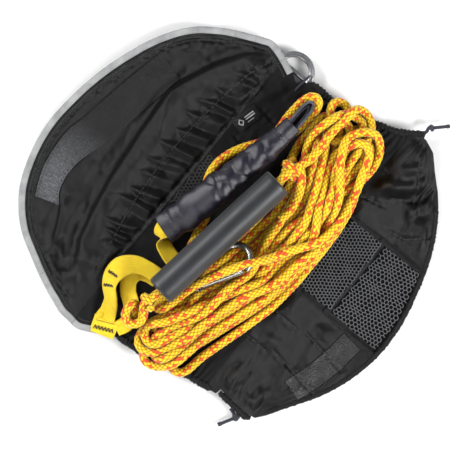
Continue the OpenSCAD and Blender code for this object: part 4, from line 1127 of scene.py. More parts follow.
# knots are separate turns of the same rope; passes of the flaked line, right- and left-bound in turn
RIGHT = [(60, -5.5, 41), (68, -9.5, 40), (76, -12, 38)]
W = [
    [(87, -11, 36), (98, -9, 34), (110, -7, 33), (120, -8, 31.5), (129, -10, 29), (135, -16, 27), (134, -24, 26), (130, -30, 25), (124, -33, 24)],
    [(114, -33, 26), (98, -35.5, 27), (84, -38, 27), (68, -41, 26), (50, -45, 26), (30, -48, 26), (10, -48, 26), (-10, -45, 27), (-30, -38, 28),
     (-48, -29, 30), (-62, -21, 32), (-78, -15, 33), (-91, -8, 33), (-99, -1, 32), (-103, 6, 30), (-109, 10, 28), (-117, 8, 26), (-121, 1, 25), (-118, -6, 25), (-110, -11, 26)],
    [(-96, -16, 27), (-80, -22, 27), (-60, -28, 27), (-44, -33, 28), (-28, -37, 29), (-10, -39, 31), (8, -40.5, 32), (24, -40, 33), (40, -39.5, 34),
     (52, -36, 35), (62, -30, 36), (73, -24, 36), (84, -18, 36), (95, -13, 35), (105, -6, 33), (114, 0, 31), (122, 3.5, 28), (129, 1, 26), (131, -5, 25), (125, -10, 24), (116, -12, 22)],
    [(100, -16, 18), (80, -22, 17.5), (60, -28, 17.5), (40, -32, 17.5), (20, -34, 17.5), (0, -34, 17.5), (-20, -30, 17.5), (-40, -24, 17.5), (-60, -18, 17.5),
     (-80, -10, 18), (-96, -2, 19), (-112, 6, 21), (-122, 7, 23), (-129, 1, 24), (-129, -7, 24), (-121, -13, 25), (-107, -17.5, 27)],
    [(-92, -21, 30), (-77, -26, 31), (-62, -31, 31), (-46, -37, 31), (-30, -45, 30), (-15, -52, 29), (0, -56, 28), (14, -58.5, 27), (28, -60.5, 25), (42, -58, 20),
     (56, -52, 18), (72, -46, 18), (88, -41, 18), (102, -38, 18), (112, -35, 19), (116, -28, 20), (109, -24, 20)],
    [(96, -27, 17.5), (80, -33, 17.5), (60, -38, 17.5), (40, -42, 17.5), (20, -44, 17.5), (0, -43, 17.5), (-20, -40, 17.5), (-40, -35, 17.5), (-60, -29, 17.5),
     (-80, -21, 17.5), (-100, -13, 18), (-116, -7, 19), (-127, -3, 20), (-135, -4, 21), (-138, -11, 20), (-132, -17, 20), (-122, -23, 20)],
    [(-107, -29, 22), (-92, -32.5, 24), (-78, -37, 25), (-63.5, -41.5, 26), (-48, -47, 26), (-34, -53, 25), (-16, -56, 25), (2, -57, 24), (20, -59, 23), (34, -58, 23),
     (46, -54, 25), (57, -49, 28), (68, -43, 31), (78, -36, 33), (88, -29, 34), (98, -25, 34.5), (107, -23.5, 34.5), (116, -25.5, 33.5), (123, -31, 32), (126, -38, 31),
     (123, -45, 29), (116, -50, 26), (106, -53, 24), (94, -53, 22), (82, -50, 20), (70, -47, 18.5)],
    [(56, -47, 17.5), (40, -51, 17.5), (20, -53, 17.5), (0, -53, 17.5), (-20, -50, 17.5), (-40, -45, 17.5), (-60, -39, 17.5), (-80, -33, 17.5), (-98, -27, 17.5),
     (-112, -23, 17.5), (-122, -24, 18), (-127, -30, 18), (-124, -37, 18), (-115, -40, 18)],
    [(-104, -42, 18), (-92, -45.5, 18), (-77, -50, 18), (-62, -54.5, 18), (-44, -58.5, 18), (-25, -62, 18), (-6, -63.5, 18), (12, -63.5, 18), (26, -62.5, 18), (40, -59.5, 18),
     (54, -55, 18), (68, -50, 18), (84, -47, 18), (100, -45, 18), (112, -41, 18), (119, -35, 18), (119, -27, 18), (110, -20, 18)],
    [(98, -14, 18), (82, -12, 18), (62, -15, 18), (44, -20, 18), (26, -24, 18), (8, -25, 18), (-12, -22, 18), (-30, -16, 18), (-48, -10, 18), (-62, -3, 18),
     (-74, 3, 19), (-84, 8, 22), (-93, 11, 26), (-99, 9, 30)],
    [(-95, 4, 33), (-86, 4.5, 35), (-77, 3, 37), (-67, 0, 40), (-54, -4.5, 44), (-40, -12, 47), (-26, -22, 46), (-11, -33, 41), (5, -41, 38), (19, -49, 35.5), (33, -56, 33),
     (43, -59, 30), (54, -60, 27), (65, -58, 25), (76, -54, 24.5), (88, -49, 24), (100, -46, 24), (111, -42, 25), (116, -36, 26), (111, -30, 27)],
    [(98, -26, 28), (84, -27, 29), (70, -31, 30), (56, -37, 29), (42, -43, 29), (30, -49, 29), (16, -53, 28), (0, -52, 28), (-18, -49, 28), (-36, -44, 28), (-54, -38, 28),
     (-72, -33, 28), (-90, -27, 28), (-106, -22, 27), (-118, -19, 25), (-127, -15, 23), (-131, -9, 22), (-126, -4, 22), (-116, -4, 25)],
    [(-106, -8, 29), (-97, -13, 31), (-86, -15.5, 32), (-73, -18, 33), (-59, -22, 33), (-44, -29, 32), (-28, -32, 31), (-12, -29, 30), (4, -27, 30), (20, -26, 30), (36, -25, 30),
     (50, -22, 31), (60, -18, 33), (68, -11, 35), (76, -4, 36), (84, -0.5, 36), (93, 0, 35), (103, -2, 34), (112, -5, 32), (120, -12, 30), (125, -21, 28), (127, -29, 26), (123, -34, 23)],
    [(112, -31, 21), (98, -29, 22), (82, -32, 23), (64, -34, 23), (44, -36, 23), (26, -38, 23), (8, -38, 23), (-10, -35, 23), (-28, -29, 23), (-46, -23, 23), (-64, -17, 23),
     (-80, -10, 24), (-94, -4, 25), (-108, 0, 25), (-114, -6, 22)],
    [(-104, -11, 21), (-88, -8, 20), (-72, -2, 20), (-56, 1, 20), (-40, -1, 20), (-22, -5, 20), (-4, -7, 20), (14, -8, 21), (32, -7, 23), (48, -3, 25), (60, 0, 28), (70, 3, 30),
     (80, 4.5, 30), (91, 4.5, 30), (102, 5, 29), (111, 3, 27), (116, -3, 25), (109, -8, 24)],
    [(96, -6, 20), (82, -10, 20), (66, -22, 21), (50, -30, 21), (32, -44, 21), (14, -49, 21), (-6, -48, 21), (-26, -43, 21), (-46, -36, 21), (-66, -29, 22), (-84, -22, 22),
     (-100, -14, 22), (-112, -10, 22), (-118, -16, 22), (-112, -24, 22)],
    [(-98, -30, 22), (-82, -35, 22), (-64, -42, 22), (-46, -50, 21), (-28, -55, 21), (-10, -58, 21), (8, -58, 21), (26, -55, 21), (42, -49, 22), (58, -41, 24), (74, -35, 26),
     (88, -30, 27), (100, -27, 27), (109, -29, 26), (113, -36, 25), (107, -41, 24)],
    [(96, -41, 24), (82, -42, 24), (66, -44, 25), (50, -43, 26), (36, -35, 27), (22, -33, 27), (6, -33, 26), (-10, -29, 26), (-26, -23, 25), (-42, -18, 25), (-58, -13, 25),
     (-74, -8, 26), (-88, -12, 27), (-98, -18, 27), (-108, -16, 25), (-110, -8, 24)],
    [(-100, -3, 23), (-88, -6, 22), (-70, -9, 22), (-50, -14, 22), (-30, -20, 22), (-10, -24, 23), (10, -28, 24), (30, -29, 26), (48, -29, 28), (62, -24, 30), (74, -15, 31), (84, -8, 32),
     (94, -5, 32), (104, -7, 31), (112, -12, 29), (117, -20, 27), (114, -27, 25), (107, -26, 23)],
    [(96, -8, 24), (80, -10, 24), (62, -12, 23), (46, -15, 23), (28, -17, 23), (10, -18, 23), (-8, -17, 22), (-26, -12, 21), (-42, -5, 19), (-52, 4, 18), (-50, 14, 17.5),
     (-40, 20, 17.2), (-26, 23, 17.2), (-12, 25, 17.2)],
]
ARCH = [(-3, 29, 17.2), (2, 37, 17.2), (10, 43, 17.3), (22, 46, 17.3), (38, 43, 17.3), (52, 35.5, 17.3), (62, 28, 17.3)]
EYE = [(72, 23.5, 17.6), (86, 25, 19), (98, 24.6, 22), (109, 23.4, 26), (117.5, 19.5, 27.2), (117.5, 13.5, 26.6), (110, 10.4, 25.4), (101, 10.2, 23), (92, 11, 20.5), (84, 13, 18)]

pts = START + LEFT + FLOAT + RIGHT
n_fixed_a = len(pts)
for w in W:
    pts += w
route = catmull(pts, step=4.0)
tail = catmull(W[-1][-3:] + ARCH + EYE, step=4.0)
# join: the last pass runs on into the arch
i0 = int(np.argmin(np.linalg.norm(tail - np.array(W[-1][-1]), axis=1)))
route = np.vstack([route, tail[i0 + 1:]])
route = resample(route, step=4.0)


def where(p):
    return int(np.argmin(np.linalg.norm(route - np.array(p, float), axis=1)))


N = len(route)
hold = np.zeros(N)                            # 1 = stays where it is
hold[:where(RIGHT[0]) + 1] = 1.0
hold[where(RIGHT[0]):where(RIGHT[-1])] = 0.5
hold[where(ARCH[1]):] = 1.0

# things the line lies against: points with a clearance
hard_p, hard_r = [], []
for nd, grow in (("snap_hook_body", 0.4), ("snap_hook_gate", 0.4), ("snap_hook_rivet", 0.4)):
    me = NODES[nd].data
    co = np.empty(len(me.vertices) * 3)
    me.vertices.foreach_get("co", co)
    hard_p.append(co.reshape(-1, 3) / MM)
    hard_r += [ROPE_R + grow] * len(me.vertices)
SLEEVE_P = [(-42, 45.5, 20.6), (-24, 40, 24), (-6, 35.8, 29.5), (14, 31.2, 32.6), (36, 26.8, 33), (56, 22.6, 32.8), (74, 19.4, 33.6), (88, 17.6, 34.6)]
sl = catmull(SLEEVE_P, step=4.0)
hard_p.append(sl)
hard_r += [ROPE_R + 9.5] * len(sl)
fl = np.array([FC + FX * s for s in np.arange(-68, 69, 3.0)])
hard_p.append(fl)
hard_r += [ROPE_R + 12.6] * len(fl)
TETHER = [(-136, 33.5, 13.4), (-128, 37, 13.6), (-120, 39, 17), (-112, 43, 20.5), (-104, 51, 22), (-95, 54, 22), (-86, 52.5, 21.5),
          (-78.5, 46, 21), (-75, 37, 20.5), (-74, 27, 20), (-74, 15, 19.5)]
te = catmull(TETHER, step=3.0)
for dz in (-8, -4, 0, 4, 8):
    pass
hard_p.append(te[len(te) // 2:])
hard_r += [ROPE_R + 3.0] * len(te[len(te) // 2:])
hard_p = np.vstack(hard_p).astype(np.float32)
hard_r = np.array(hard_r, np.float32)


def pile(x, target, rounds):
    """Settles the line: strands rest on each other and on the panel, keep their length and don't kink."""
    x = x.copy()
    n = len(x)
    free = (1 - hold)[:, None]
    idx = np.arange(n)
    rest = 4.0
    pairs = None
    for it in range(rounds):
        if it % 8 == 0:
            xf = x.astype(np.float32)
            sq = (xf**2).sum(1)
            d2 = sq[:, None] + sq[None] - 2 * xf @ xf.T
            ii, jj = np.nonzero(np.triu(d2 < (2 * ROPE_R + 3.0) ** 2, 4))
            pairs = (ii, jj)
            dh = sq[:, None] + (hard_p**2).sum(1)[None] - 2 * xf @ hard_p.T
            hi, hj = np.nonzero(dh < (hard_r[None] + 3.0) ** 2)
        ii, jj = pairs
        far = (it / rounds)
        x[:, :2] += (target[:, :2] - x[:, :2]) * 0.015 * free
        x[:, 2:] += (target[:, 2:] - x[:, 2:]) * 0.004 * free
        x[:, 2] -= 0.06 * free[:, 0]
        for _ in range(2):
            dv = x[ii] - x[jj]
            dd = np.linalg.norm(dv, axis=1) + 1e-6
            want = 2 * ROPE_R - 0.1
            m = dd < want
            if m.any():
                a, b = ii[m], jj[m]
                push = (want - dd[m])[:, None] * dv[m] / dd[m][:, None] * 0.45
                fa, fb = free[a], free[b]
                tot = np.maximum(fa + fb, 1e-6)
                acc = np.zeros_like(x)
                cnt = np.zeros(n)
                np.add.at(acc, a, push * 2 * fa / tot)
                np.add.at(acc, b, -push * 2 * fb / tot)
                np.add.at(cnt, a, 1)
                np.add.at(cnt, b, 1)
                x += acc / np.maximum(cnt, 1)[:, None] * 1.3
            # keep the length
            for par in (0, 1):
                a = idx[par:-1:2]
                b = a + 1
                dv = x[b] - x[a]
                dd = np.linalg.norm(dv, axis=1)[:, None] + 1e-6
                fa, fb = free[a], free[b]
                tot = np.maximum(fa + fb, 1e-6)
                c = (dd - rest) / dd * dv
                x[a] += c * fa / tot * 0.9
                x[b] -= c * fb / tot * 0.9
            # no kinks
            for gap, least in ((2, 7.72), (4, 13.6), (6, 17.5)):
                a = idx[:-gap]
                b = idx[gap:]
                dv = x[b] - x[a]
                dd = np.linalg.norm(dv, axis=1)[:, None] + 1e-6
                c = np.where(dd < least, (dd - least) / dd, 0.0) * dv * 0.25
                np.add.at(x, a, c * free[a])
                np.add.at(x, b, -c * free[b])
        # things in the way
        if len(hi):
            dv = x[hi] - hard_p[hj]
            dd = np.linalg.norm(dv, axis=1) + 1e-6
            over = hard_r[hj] - dd
            m = over > 0
            if m.any():
                acc = np.zeros_like(x)
                cnt = np.zeros(n)
                np.add.at(acc, hi[m], over[m][:, None] * dv[m] / dd[m][:, None])
                np.add.at(cnt, hi[m], 1)
                x += acc / np.maximum(cnt, 1)[:, None] * free
        x[:, 2] = np.where(hold < 1, np.maximum(x[:, 2], TOP + 0.4 + ROPE_R), x[:, 2])
        # light bending stiffness
        mid = 0.5 * (x[:-2] + x[2:])
        x[1:-1] += (mid - x[1:-1]) * 0.06 * free[1:-1]
    return x


settled = pile(route, route, 420)
rope_line = resample(soften(catmull(soften(settled, 2), step=1.33), 3), step=1.33)
# room for the front wall when it is folded up: its foot along the pile's front, its flap over the highest pass
ry, rz, rx = rope_line[:, 1], rope_line[:, 2], rope_line[:, 0]
rope_line[:, 1] = np.where(ry < -60.5, -60.5 - (-60.5 - ry) * 0.5, ry)
low = smooth((-6 - ry) / 6) * smooth((rx + 62) / 8) * smooth((8 - rx) / 8)
rope_line[:, 2] = np.where(rz > 38.5, rz + low * (38.5 + 4.2 * np.tanh((rz - 38.5) / 4.2) - rz), rz)
rope_line = resample(soften(rope_line, 2), step=1.33)


def braid(name, line, mat=M_ROPE, taper=None, sides=24, caps=True):
    """Rope mesh, each pick of the braid raised in a small mound."""
    n = len(line)
    s0 = np.concatenate([[0], np.cumsum(np.linalg.norm(np.diff(line, axis=0), axis=1))])[:, None]
    uu = np.arange(sides)[None] / sides
    lens = np.abs(0.5 * (np.cos(12 * math.pi * uu) - np.cos(2 * math.pi * s0 / 4.6))) ** 0.6
    bump = 1.0 + (0.62 * lens - 0.42) / ROPE_R
    r = np.full(n, ROPE_R) if taper is None else ROPE_R * taper
    v, f, uv, s = tube_parts(line, r, sides, caps, bump)
    ob = make(name, v, f, mat, None)
    layer = ob.data.uv_layers.new(name="UVMap")
    co = uv * np.array([1.0, MM])
    layer.data.foreach_set("uv", co.astype(np.float32).ravel())
    return ob


rope = braid("rope_line", rope_line)
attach(rope, "bag")
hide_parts("rope_bundle", "rope_float_run", "rope_eye_run", "rope_arch_run")

# ------------------------------------------------------------------ shock absorber's sleeve
sp = catmull(SLEEVE_P, step=0.9)
ns = len(sp)
arc_s = np.linspace(0, 1, ns)
sa = np.interp(arc_s, np.linspace(0, 1, 8), [12.6, 13, 13.2, 12.4, 10.8, 10.6, 9.4, 7.6])
sb = np.interp(arc_s, np.linspace(0, 1, 8), [5.4, 7.8, 9.4, 10.2, 9.8, 9.2, 7.8, 5.6])
SS = 56
sv = np.arange(ns)[:, None] * 0.9                         # mm along
au = np.linspace(0, 2 * math.pi, SS, endpoint=False)[None]
total = ns * 0.9
sw1, sw2 = waves(51, 16), waves(53, 7)
mid_part = smooth((sv - 40) / 14) * smooth((total - 18 - sv) / 12)
# crossing pull lines make the diamonds between the two sewn ends
ph1 = 2 * math.pi * (sv / 15.5 + au / math.pi * 0.9 + 0.25 * sw1(sv, au * 8))
ph2 = 2 * math.pi * (sv / 17.0 - au / math.pi * 0.95 + 0.25 * sw1(sv + 90, au * 8))
dia = np.abs(np.sin(ph1 / 2)) ** 0.8 + np.abs(np.sin(ph2 / 2)) ** 0.8 - 1.2
rs = 1 + mid_part * (0.125 * dia) + (0.35 + 0.65 * mid_part) * 0.02 * sw2(sv, au * 9) + 0.022 * sw1(sv, au * 12)
left_folds = smooth((46 - sv) / 10) * smooth((sv - 6) / 8)
rs = rs + left_folds * 0.06 * np.sin(sv / 3.1 + 2.6 * np.sin(au + 0.6) + sw1(sv, au * 6))
for sm in (8.5, 10.5, total - 12.5, total - 14.5):         # two sewn lines near each hem
    rs = rs - 0.045 * np.exp(-((sv - sm) / 0.8) ** 2)
rs = rs - 0.03 * np.exp(-((sv - 9.5) / 4) ** 2) - 0.04 * np.exp(-((sv - total + 13) / 5) ** 2)
t_, u_, w_ = frames(sp, (0, 0, 1))
ring = (sp[:, None, :] + (sa[:, None] * rs * np.cos(au))[..., None] * u_[:, None, :] + (sb[:, None] * rs * np.sin(au))[..., None] * w_[:, None, :])
# open ends: the fabric turns in and runs back inside
inn = lambda k: sp[k][None] + (ring[k] - sp[k][None]) * 0.88
rings = [inn(9) + (ring[0] - ring[9]) * 0 , sp[3][None] + (ring[3] - sp[3][None]) * 0.88, sp[0][None] + (ring[0] - sp[0][None]) * 0.93] + list(ring) \
    + [sp[-1][None] + (ring[-1] - sp[-1][None]) * 0.92, sp[-4][None] + (ring[-4] - sp[-4][None]) * 0.86, sp[-10][None] + (ring[-10] - sp[-10][None]) * 0.84]
rings = np.array(rings)
v = rings.reshape(-1, 3)
f, uv = [], []
rr = len(rings)
circ = float(np.mean(sa + sb)) * math.pi
for i in range(rr - 1):
    for j in range(SS):
        k = (j + 1) % SS
        f.append((i * SS + j, i * SS + k, (i + 1) * SS + k, (i + 1) * SS + j))
        uv += [(j / SS * circ, i * 0.9), ((j + 1) / SS * circ, i * 0.9), ((j + 1) / SS * circ, i * 0.9 + 0.9), (j / SS * circ, i * 0.9 + 0.9)]
sleeve = make("sleeve_fabric", v, f, M_SLEEVE, None)
sleeve.data.uv_layers.new(name="UVMap").data.foreach_set("uv", (np.array(uv) * MM).astype(np.float32).ravel())
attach(sleeve, "bag")
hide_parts("shock_sleeve")

# stitches sewn round the sleeve
st = Bag()


def stitch(bag, a, b, r=0.26, sink=0.0, sides=6):
    """One thread float from a to b, its ends dipping into the cloth."""
    a, b = np.array(a, float), np.array(b, float)
    q = np.array([a - (0, 0, 0.35), a + (b - a) * 0.18, a + (b - a) * 0.5, a + (b - a) * 0.82, b - (0, 0, 0.35)])
    q[1:4, 2] += r * 0.8
    q[2, 2] += 0.08
    vv, ff, uu, _ = tube_parts(q, np.array([0.7, 1, 1.05, 1, 0.7]) * r, sides, True)
    bag.add(vv, ff)


for sm in (8.5, 10.5, total - 12.5, total - 14.5):
    i = int(sm / 0.9)
    for j in range(0, SS, 3):
        a, b = ring[i, j], ring[i, (j + 2) % SS]
        d = (ring[i, j] - sp[i])
        d /= np.linalg.norm(d)
        q = np.array([a - d * 0.2, a + (b - a) * 0.5 + d * 0.32, b - d * 0.2])
        vv, ff, uu, _ = tube_parts(q, np.array([0.16, 0.24, 0.16]), 6, True)
        st.add(vv, ff)
ob = st.done("stitches_sleeve", [M_THREADG])
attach(ob, "bag")

# doubled elastic cord, seen in the sleeve's mouths
bun = Bag()
for sgn in (-1, 1):
    c = catmull([np.array(q) + (0, sgn * 3.4, 0) for q in [(-26, 40.6, 23.6)] + SLEEVE_P[2:7]] + [(86, 17.9 + sgn * 2.6, 34.6)], step=1.5)
    vv, ff, uu, _ = tube_parts(c, 2.7, 12, True)
    bun.add(vv, ff, None)
bob = bun.done("bungee_cords", [M_BUNGEE])
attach(bob, "bag")
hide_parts("shock_bungee")

# ------------------------------------------------------------------ webbings
LOOPW = [(78, 20.9, 34.4), (84, 21.4, 34.5), (92, 21.4, 34.8), (100, 21.2, 35), (106, 20.4, 35), (110.2, 18.4, 35), (110.6, 15.6, 35), (107, 13.6, 35), (100, 13.0, 35), (92, 12.9, 34.8), (84, 13.6, 34.5), (78, 14.6, 34.4)]
c = catmull(LOOPW, step=0.8)
v, f, uv = ribbon_parts(c, np.broadcast_to(np.array([0, 0.0, 1.0]), c.shape), 6.4, 2.0, cols=8, edge=0.4)
lw = fix_normals(make("webbing_loop", v, f, M_DWEB, uv))
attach(lw, "bag")
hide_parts("shock_loop_webbing")
# a second turn lies under it
c2 = catmull([(80, 19.4, 31.6), (92, 19.6, 31.4), (102, 19.0, 31.2), (107.4, 17.0, 31), (102, 15.0, 31.2), (92, 14.6, 31.4), (80, 15.4, 31.6)], step=0.8)
v, f, uv = ribbon_parts(c2, np.broadcast_to(np.array([0, 0.0, 1.0]), c2.shape), 4.0, 1.6, cols=8, edge=0.4)
lw2 = fix_normals(make("webbing_loop_inner", v, f, M_DWEB, uv))
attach(lw2, "bag")


STRAP_CUT = {}


def strap(name, pts, sides_, widths, thick, mat, node, step=0.8, crown=0.0, cols=12):
    p0 = np.array(pts, float)
    c = catmull(p0, step=step)
    s0 = np.concatenate([[0], np.cumsum(np.linalg.norm(np.diff(p0, axis=0), axis=1))])
    s0 /= s0[-1]
    sN = np.linspace(0, 1, len(c))
    sd = np.stack([np.interp(sN, s0, np.array(sides_, float)[:, k]) for k in range(3)], 1)
    for _ in range(6):
        sd[1:-1] = 0.25 * sd[:-2] + 0.5 * sd[1:-1] + 0.25 * sd[2:]
    wd = np.interp(sN, s0, widths) if hasattr(widths, "__len__") else widths
    v, f, uv = ribbon_parts(c, sd, wd, thick, cols=cols, edge=0.45, crown=crown)
    ob = fix_normals(make(name, v, f, mat, uv))
    STRAP_CUT[name] = (float(np.max(widths)), float(length_of(c)))
    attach(ob, "bag")
    if node:
        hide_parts(*([node] if isinstance(node, str) else node))
    return ob, c, sd


TW = [(0.42, -0.91, 0)] * 2 + [(0.4, -0.85, 0.2), (0.3, -0.75, 0.5), (0.15, -0.8, 0.6), (-0.1, -0.85, 0.5), (-0.5, -0.85, 0.2), (-0.85, -0.5, 0.1), (-1, -0.1, 0), (-1, 0, 0), (-1, 0, 0)]
teth, tc, tsd = strap("webbing_tether", TETHER, TW, [18.5, 17, 13.5, 12.5, 14.5, 17.5, 17.5, 15, 13, 13, 13], 1.8, M_YWEB, "tether_webbing")
tail_w, _, _ = strap("webbing_sleeve_tail", [(-24, 40.0, 24.2), (-34, 43.4, 21.8), (-40, 45, 20.8), (-48, 43, 20), (-53, 34, 18.9), (-56, 24, 18.3), (-57, 16, 18)],
                     [(-0.1, -1, 0), (-0.1, -1, 0.05), (-0.1, -1, 0.1), (-0.6, -0.7, 0.35), (-0.8, 0.3, 0.5), (-0.9, 0.3, 0.4), (-0.9, 0.3, 0.4)], [16, 16, 16, 15, 14, 14, 13], 1.6, M_YWEB, "shock_tail_webbing")
# the tether's sewn band at the panel's corner, its folded end, and the golden fold that comes back under the eye
band, _, _ = strap("webbing_band", [(-139.2, 31.0, 13.5), (-136, 32.0, 13.9), (-132, 33.2, 14.1), (-127, 34.6, 14.6)], [(0.42, -0.91, 0)] * 4, [19.5, 20, 20, 19], 1.5, M_YWEB, None)
fold_b, _, _ = strap("webbing_fold", [(-128, 25, 13.6), (-120, 21.5, 14.2), (-111, 22, 15.0), (-104, 29, 15.5), (-98, 37, 15.4), (-90, 41.5, 15.2), (-82, 40, 15.0), (-78, 33, 14.6), (-77, 24, 14.4)],
                     [(-0.1, -0.98, 0.1), (-0.05, -0.98, 0.15), (0.3, -0.9, 0.2), (0.6, -0.75, 0.15), (0.4, -0.9, 0.1), (0, -1, 0.1), (-0.6, -0.75, 0.1), (-0.95, -0.2, 0), (-1, 0, 0)],
                     [12, 13, 13, 13, 13, 13, 13, 13, 12], 1.5, M_YWEB, None)
roll = np.array([(-130.5, 44.0, 15.0), (-127.5, 42.6, 15.4), (-124.6, 41.2, 15.2)])
v, f, uv, _ = tube_parts(catmull(roll, step=0.4), 1.7, 14, True, a=2.2, b=1.5)
rl = make("webbing_rolled_tab", v, f, M_YWEB, None)
rl.data.uv_layers.new(name="UVMap").data.foreach_set("uv", (uv * np.array([10.0, 1.0]) * MM).astype(np.float32).ravel())
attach(rl, "bag")

# bar tacks and the zigzag on the sewn band
tk = Bag()


def on_strap(c, sd, s_mm, across, lift=1.0):
    s = np.concatenate([[0], np.cumsum(np.linalg.norm(np.diff(c, axis=0), axis=1))])
    i = int(np.clip(np.searchsorted(s, s_mm), 1, len(c) - 2))
    t = c[i + 1] - c[i - 1]
    t /= np.linalg.norm(t)
    b = sd[i] - t * np.dot(sd[i], t)
    b /= np.linalg.norm(b)
    n = np.cross(t, b)
    if n[2] < 0:
        n = -n
    return c[i] + b * across + n * lift, t, b, n


s_of = lambda q: float(np.concatenate([[0], np.cumsum(np.linalg.norm(np.diff(tc, axis=0), axis=1))])[int(np.argmin(np.linalg.norm(tc - np.array(q), axis=1)))])
for centre, half in (((-104, 51, 22), 5.0), ((-95, 54, 22), 5.0)):
    s0 = s_of(centre)
    k = 0
    for a in np.arange(-half, half, 0.42):
        p1, t1, b1, n1 = on_strap(tc, tsd, s0 - 0.9 + 0.25 * math.sin(k), a, 1.15)
        p2, t1, b1, n1 = on_strap(tc, tsd, s0 + 0.9 + 0.25 * math.cos(k), a + 0.2, 1.15)
        vv, ff, uu, _ = tube_parts(np.array([p1 - n1 * 0.3, p1 + (p2 - p1) * 0.5 + n1 * 0.12, p2 - n1 * 0.3]), np.array([0.2, 0.3, 0.2]), 6, True)
        tk.add(vv, ff)
        k += 1
zz = []
for i in range(13):
    a = -8.2 + i * 1.36
    x0, y0 = -134.2 + a * 0.42 + (1.7 if i % 2 else -1.7) * 0.91, 32.9 - a * 0.91 + (1.7 if i % 2 else -1.7) * 0.42
    zz.append((x0, y0, 15.15))
for a, b in zip(zz[:-1], zz[1:]):
    vv, ff, uu, _ = tube_parts(np.array([a, (np.array(a) + b) / 2 + (0, 0, 0.15), b]), 0.34, 6, True)
    tk.add(vv, ff)
for i in range(12):
    a = -7.6 + i * 1.3
    q = np.array([-129.0 + a * 0.42, 35.0 - a * 0.91, 15.35])
    d = np.array([0.42, -0.91, 0]) * 0.45
    vv, ff, uu, _ = tube_parts(np.array([q - d, q + (0, 0, 0.15), q + d]), 0.26, 6, True)
    tk.add(vv, ff)
tko = tk.done("stitches_tether", [M_THREAD])
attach(tko, "bag")
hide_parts("tether_stitching")

# ------------------------------------------------------------------ foam float
L, R0, Rb = 64.0, 12.4, 4.5
prof = [(-L + 3.0, Rb), (-L + 0.8, Rb + 0.1), (-L + 0.15, Rb + 0.8), (-L, Rb + 1.8), (-L, R0 - 2.6), (-L + 0.25, R0 - 1.4), (-L + 0.9, R0 - 0.5), (-L + 2.0, R0 - 0.08)]
prof += [(x, R0) for x in np.linspace(-L + 4, L - 4, 44)]
prof += [(-x, r) for x, r in reversed(prof[:8])]
prof += [(x, Rb) for x in np.linspace(L - 6, -L + 6, 12)]
FSD = 64
ang = np.linspace(0, 2 * math.pi, FSD, endpoint=False)
fw, fw2 = waves(61, 30), waves(63, 11)
Y = np.cross((0, 0, 1.0), FX)
Z = np.array([0, 0, 1.0])
rows = []
for x, r in prof:
    dent = 0.0 if r < R0 - 3 else 1.0
    rr_ = r * (1 + dent * (0.006 * fw(np.full(FSD, x), ang * 9) + 0.0025 * fw2(np.full(FSD, x), ang * 12)))
    # a shallow dimple in each end face
    xx = x + (0.5 * np.sign(-x) * (1 - ((r - 8.4) / 4) ** 2) if abs(abs(x) - L) < 0.01 else 0)
    rows.append(FC + FX * xx + (rr_ * np.cos(ang))[:, None] * Y + (rr_ * np.sin(ang))[:, None] * Z)
v = np.array(rows).reshape(-1, 3)
f = []
nr = len(rows)
for i in range(nr):
    for j in range(FSD):
        k = (j + 1) % FSD
        i2 = (i + 1) % nr
        f.append((i * FSD + j, i2 * FSD + j, i2 * FSD + k, i * FSD + k))
flo = fix_normals(make("float_foam", v, f, M_FOAM, None))
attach(flo, "float")
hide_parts("float_tube")


# ------------------------------------------------------------------ centreline of a stopper knot
def knot(name, c0, ax, r_turn, rope_r, span, turns=1.0, tilt=0.0, mat=None):
    """Centreline of a stopper knot: one round turn about the standing part."""
    ax = np.array(ax, float)
    ax /= np.linalg.norm(ax)
    a = np.cross((0, 0, 1.0), ax)
    a /= np.linalg.norm(a)
    b = np.cross(ax, a)
    t = np.linspace(0, 1, 90)
    phi = 2 * math.pi * (turns * t) + tilt
    rr = r_turn * (1 - 0.25 * np.cos(2 * math.pi * t) ** 8)
    p = np.array(c0) + ax * ((t - 0.5) * span)[:, None] + (rr * np.cos(phi))[:, None] * a + (rr * np.sin(phi))[:, None] * b
    return p

# ------------------------------------------------------------------ hardware keeps its CAD shape
def dress(node, m, slot=None):
    ob = NODES[node]
    ob.data.materials.clear()
    ob.data.materials.append(m)
    for p in ob.data.polygons:
        p.material_index = 0


dress("carabiner_pin", M_STEEL)
dress("carabiner_gate", M_ALLOY)
dress("snap_hook_body", M_STEEL)
dress("snap_hook_gate", M_STEEL)
dress("snap_hook_rivet", M_STEEL)


# ------------------------------------------------------------------ carabiner body: a forged bar bent to two bows
KC = np.array([122.0, 44.0])
mx = catmull([(-13.2, -15.4), (-8.5, -15.2), (-3, -15.0), (3, -14.6), (8.6, -12.1), (12.8, -7.4), (14.8, 0), (12.8, 7.4), (8.6, 12.1), (3, 14.6), (-3, 14.9), (-10, 14.4),
              (-20, 13.2), (-30, 11.9), (-38, 10.7), (-45, 8.2), (-48.7, 3.4), (-49.2, -1.6), (-47.4, -6.4), (-43.6, -9.4), (-39.2, -10.6)], step=0.9)
kp = np.concatenate([mx + KC, np.full((len(mx), 1), 6.2)], 1)
kang = np.linspace(0, 2 * math.pi, 28, endpoint=False)[None]
ksec = 1 - 0.10 * np.cos(4 * kang) - 0.13 * np.exp(-((np.abs(kang - math.pi / 2)) / 0.22) ** 2) - 0.13 * np.exp(-((np.abs(kang - 1.5 * math.pi)) / 0.22) ** 2)
kend = np.ones((len(kp), 1))
kend[:3, 0] = (0.72, 0.9, 0.97)
kend[-3:, 0] = (0.97, 0.9, 0.72)
v, f, uv, _ = tube_parts(kp, 1.0, 28, True, ksec * kend, a=2.75, b=3.3)
kb = Bag()
kb.add(v, f)
st_ = catmull([(122.9, 29.8, 6.2), (122.9, 38, 6.2), (122.9, 50, 6.2), (122.9, 58.2, 6.2)], step=0.9)
v, f, uv, _ = tube_parts(st_, 1.0, 20, True, None, a=2.1, b=2.4)
kb.add(v, f)
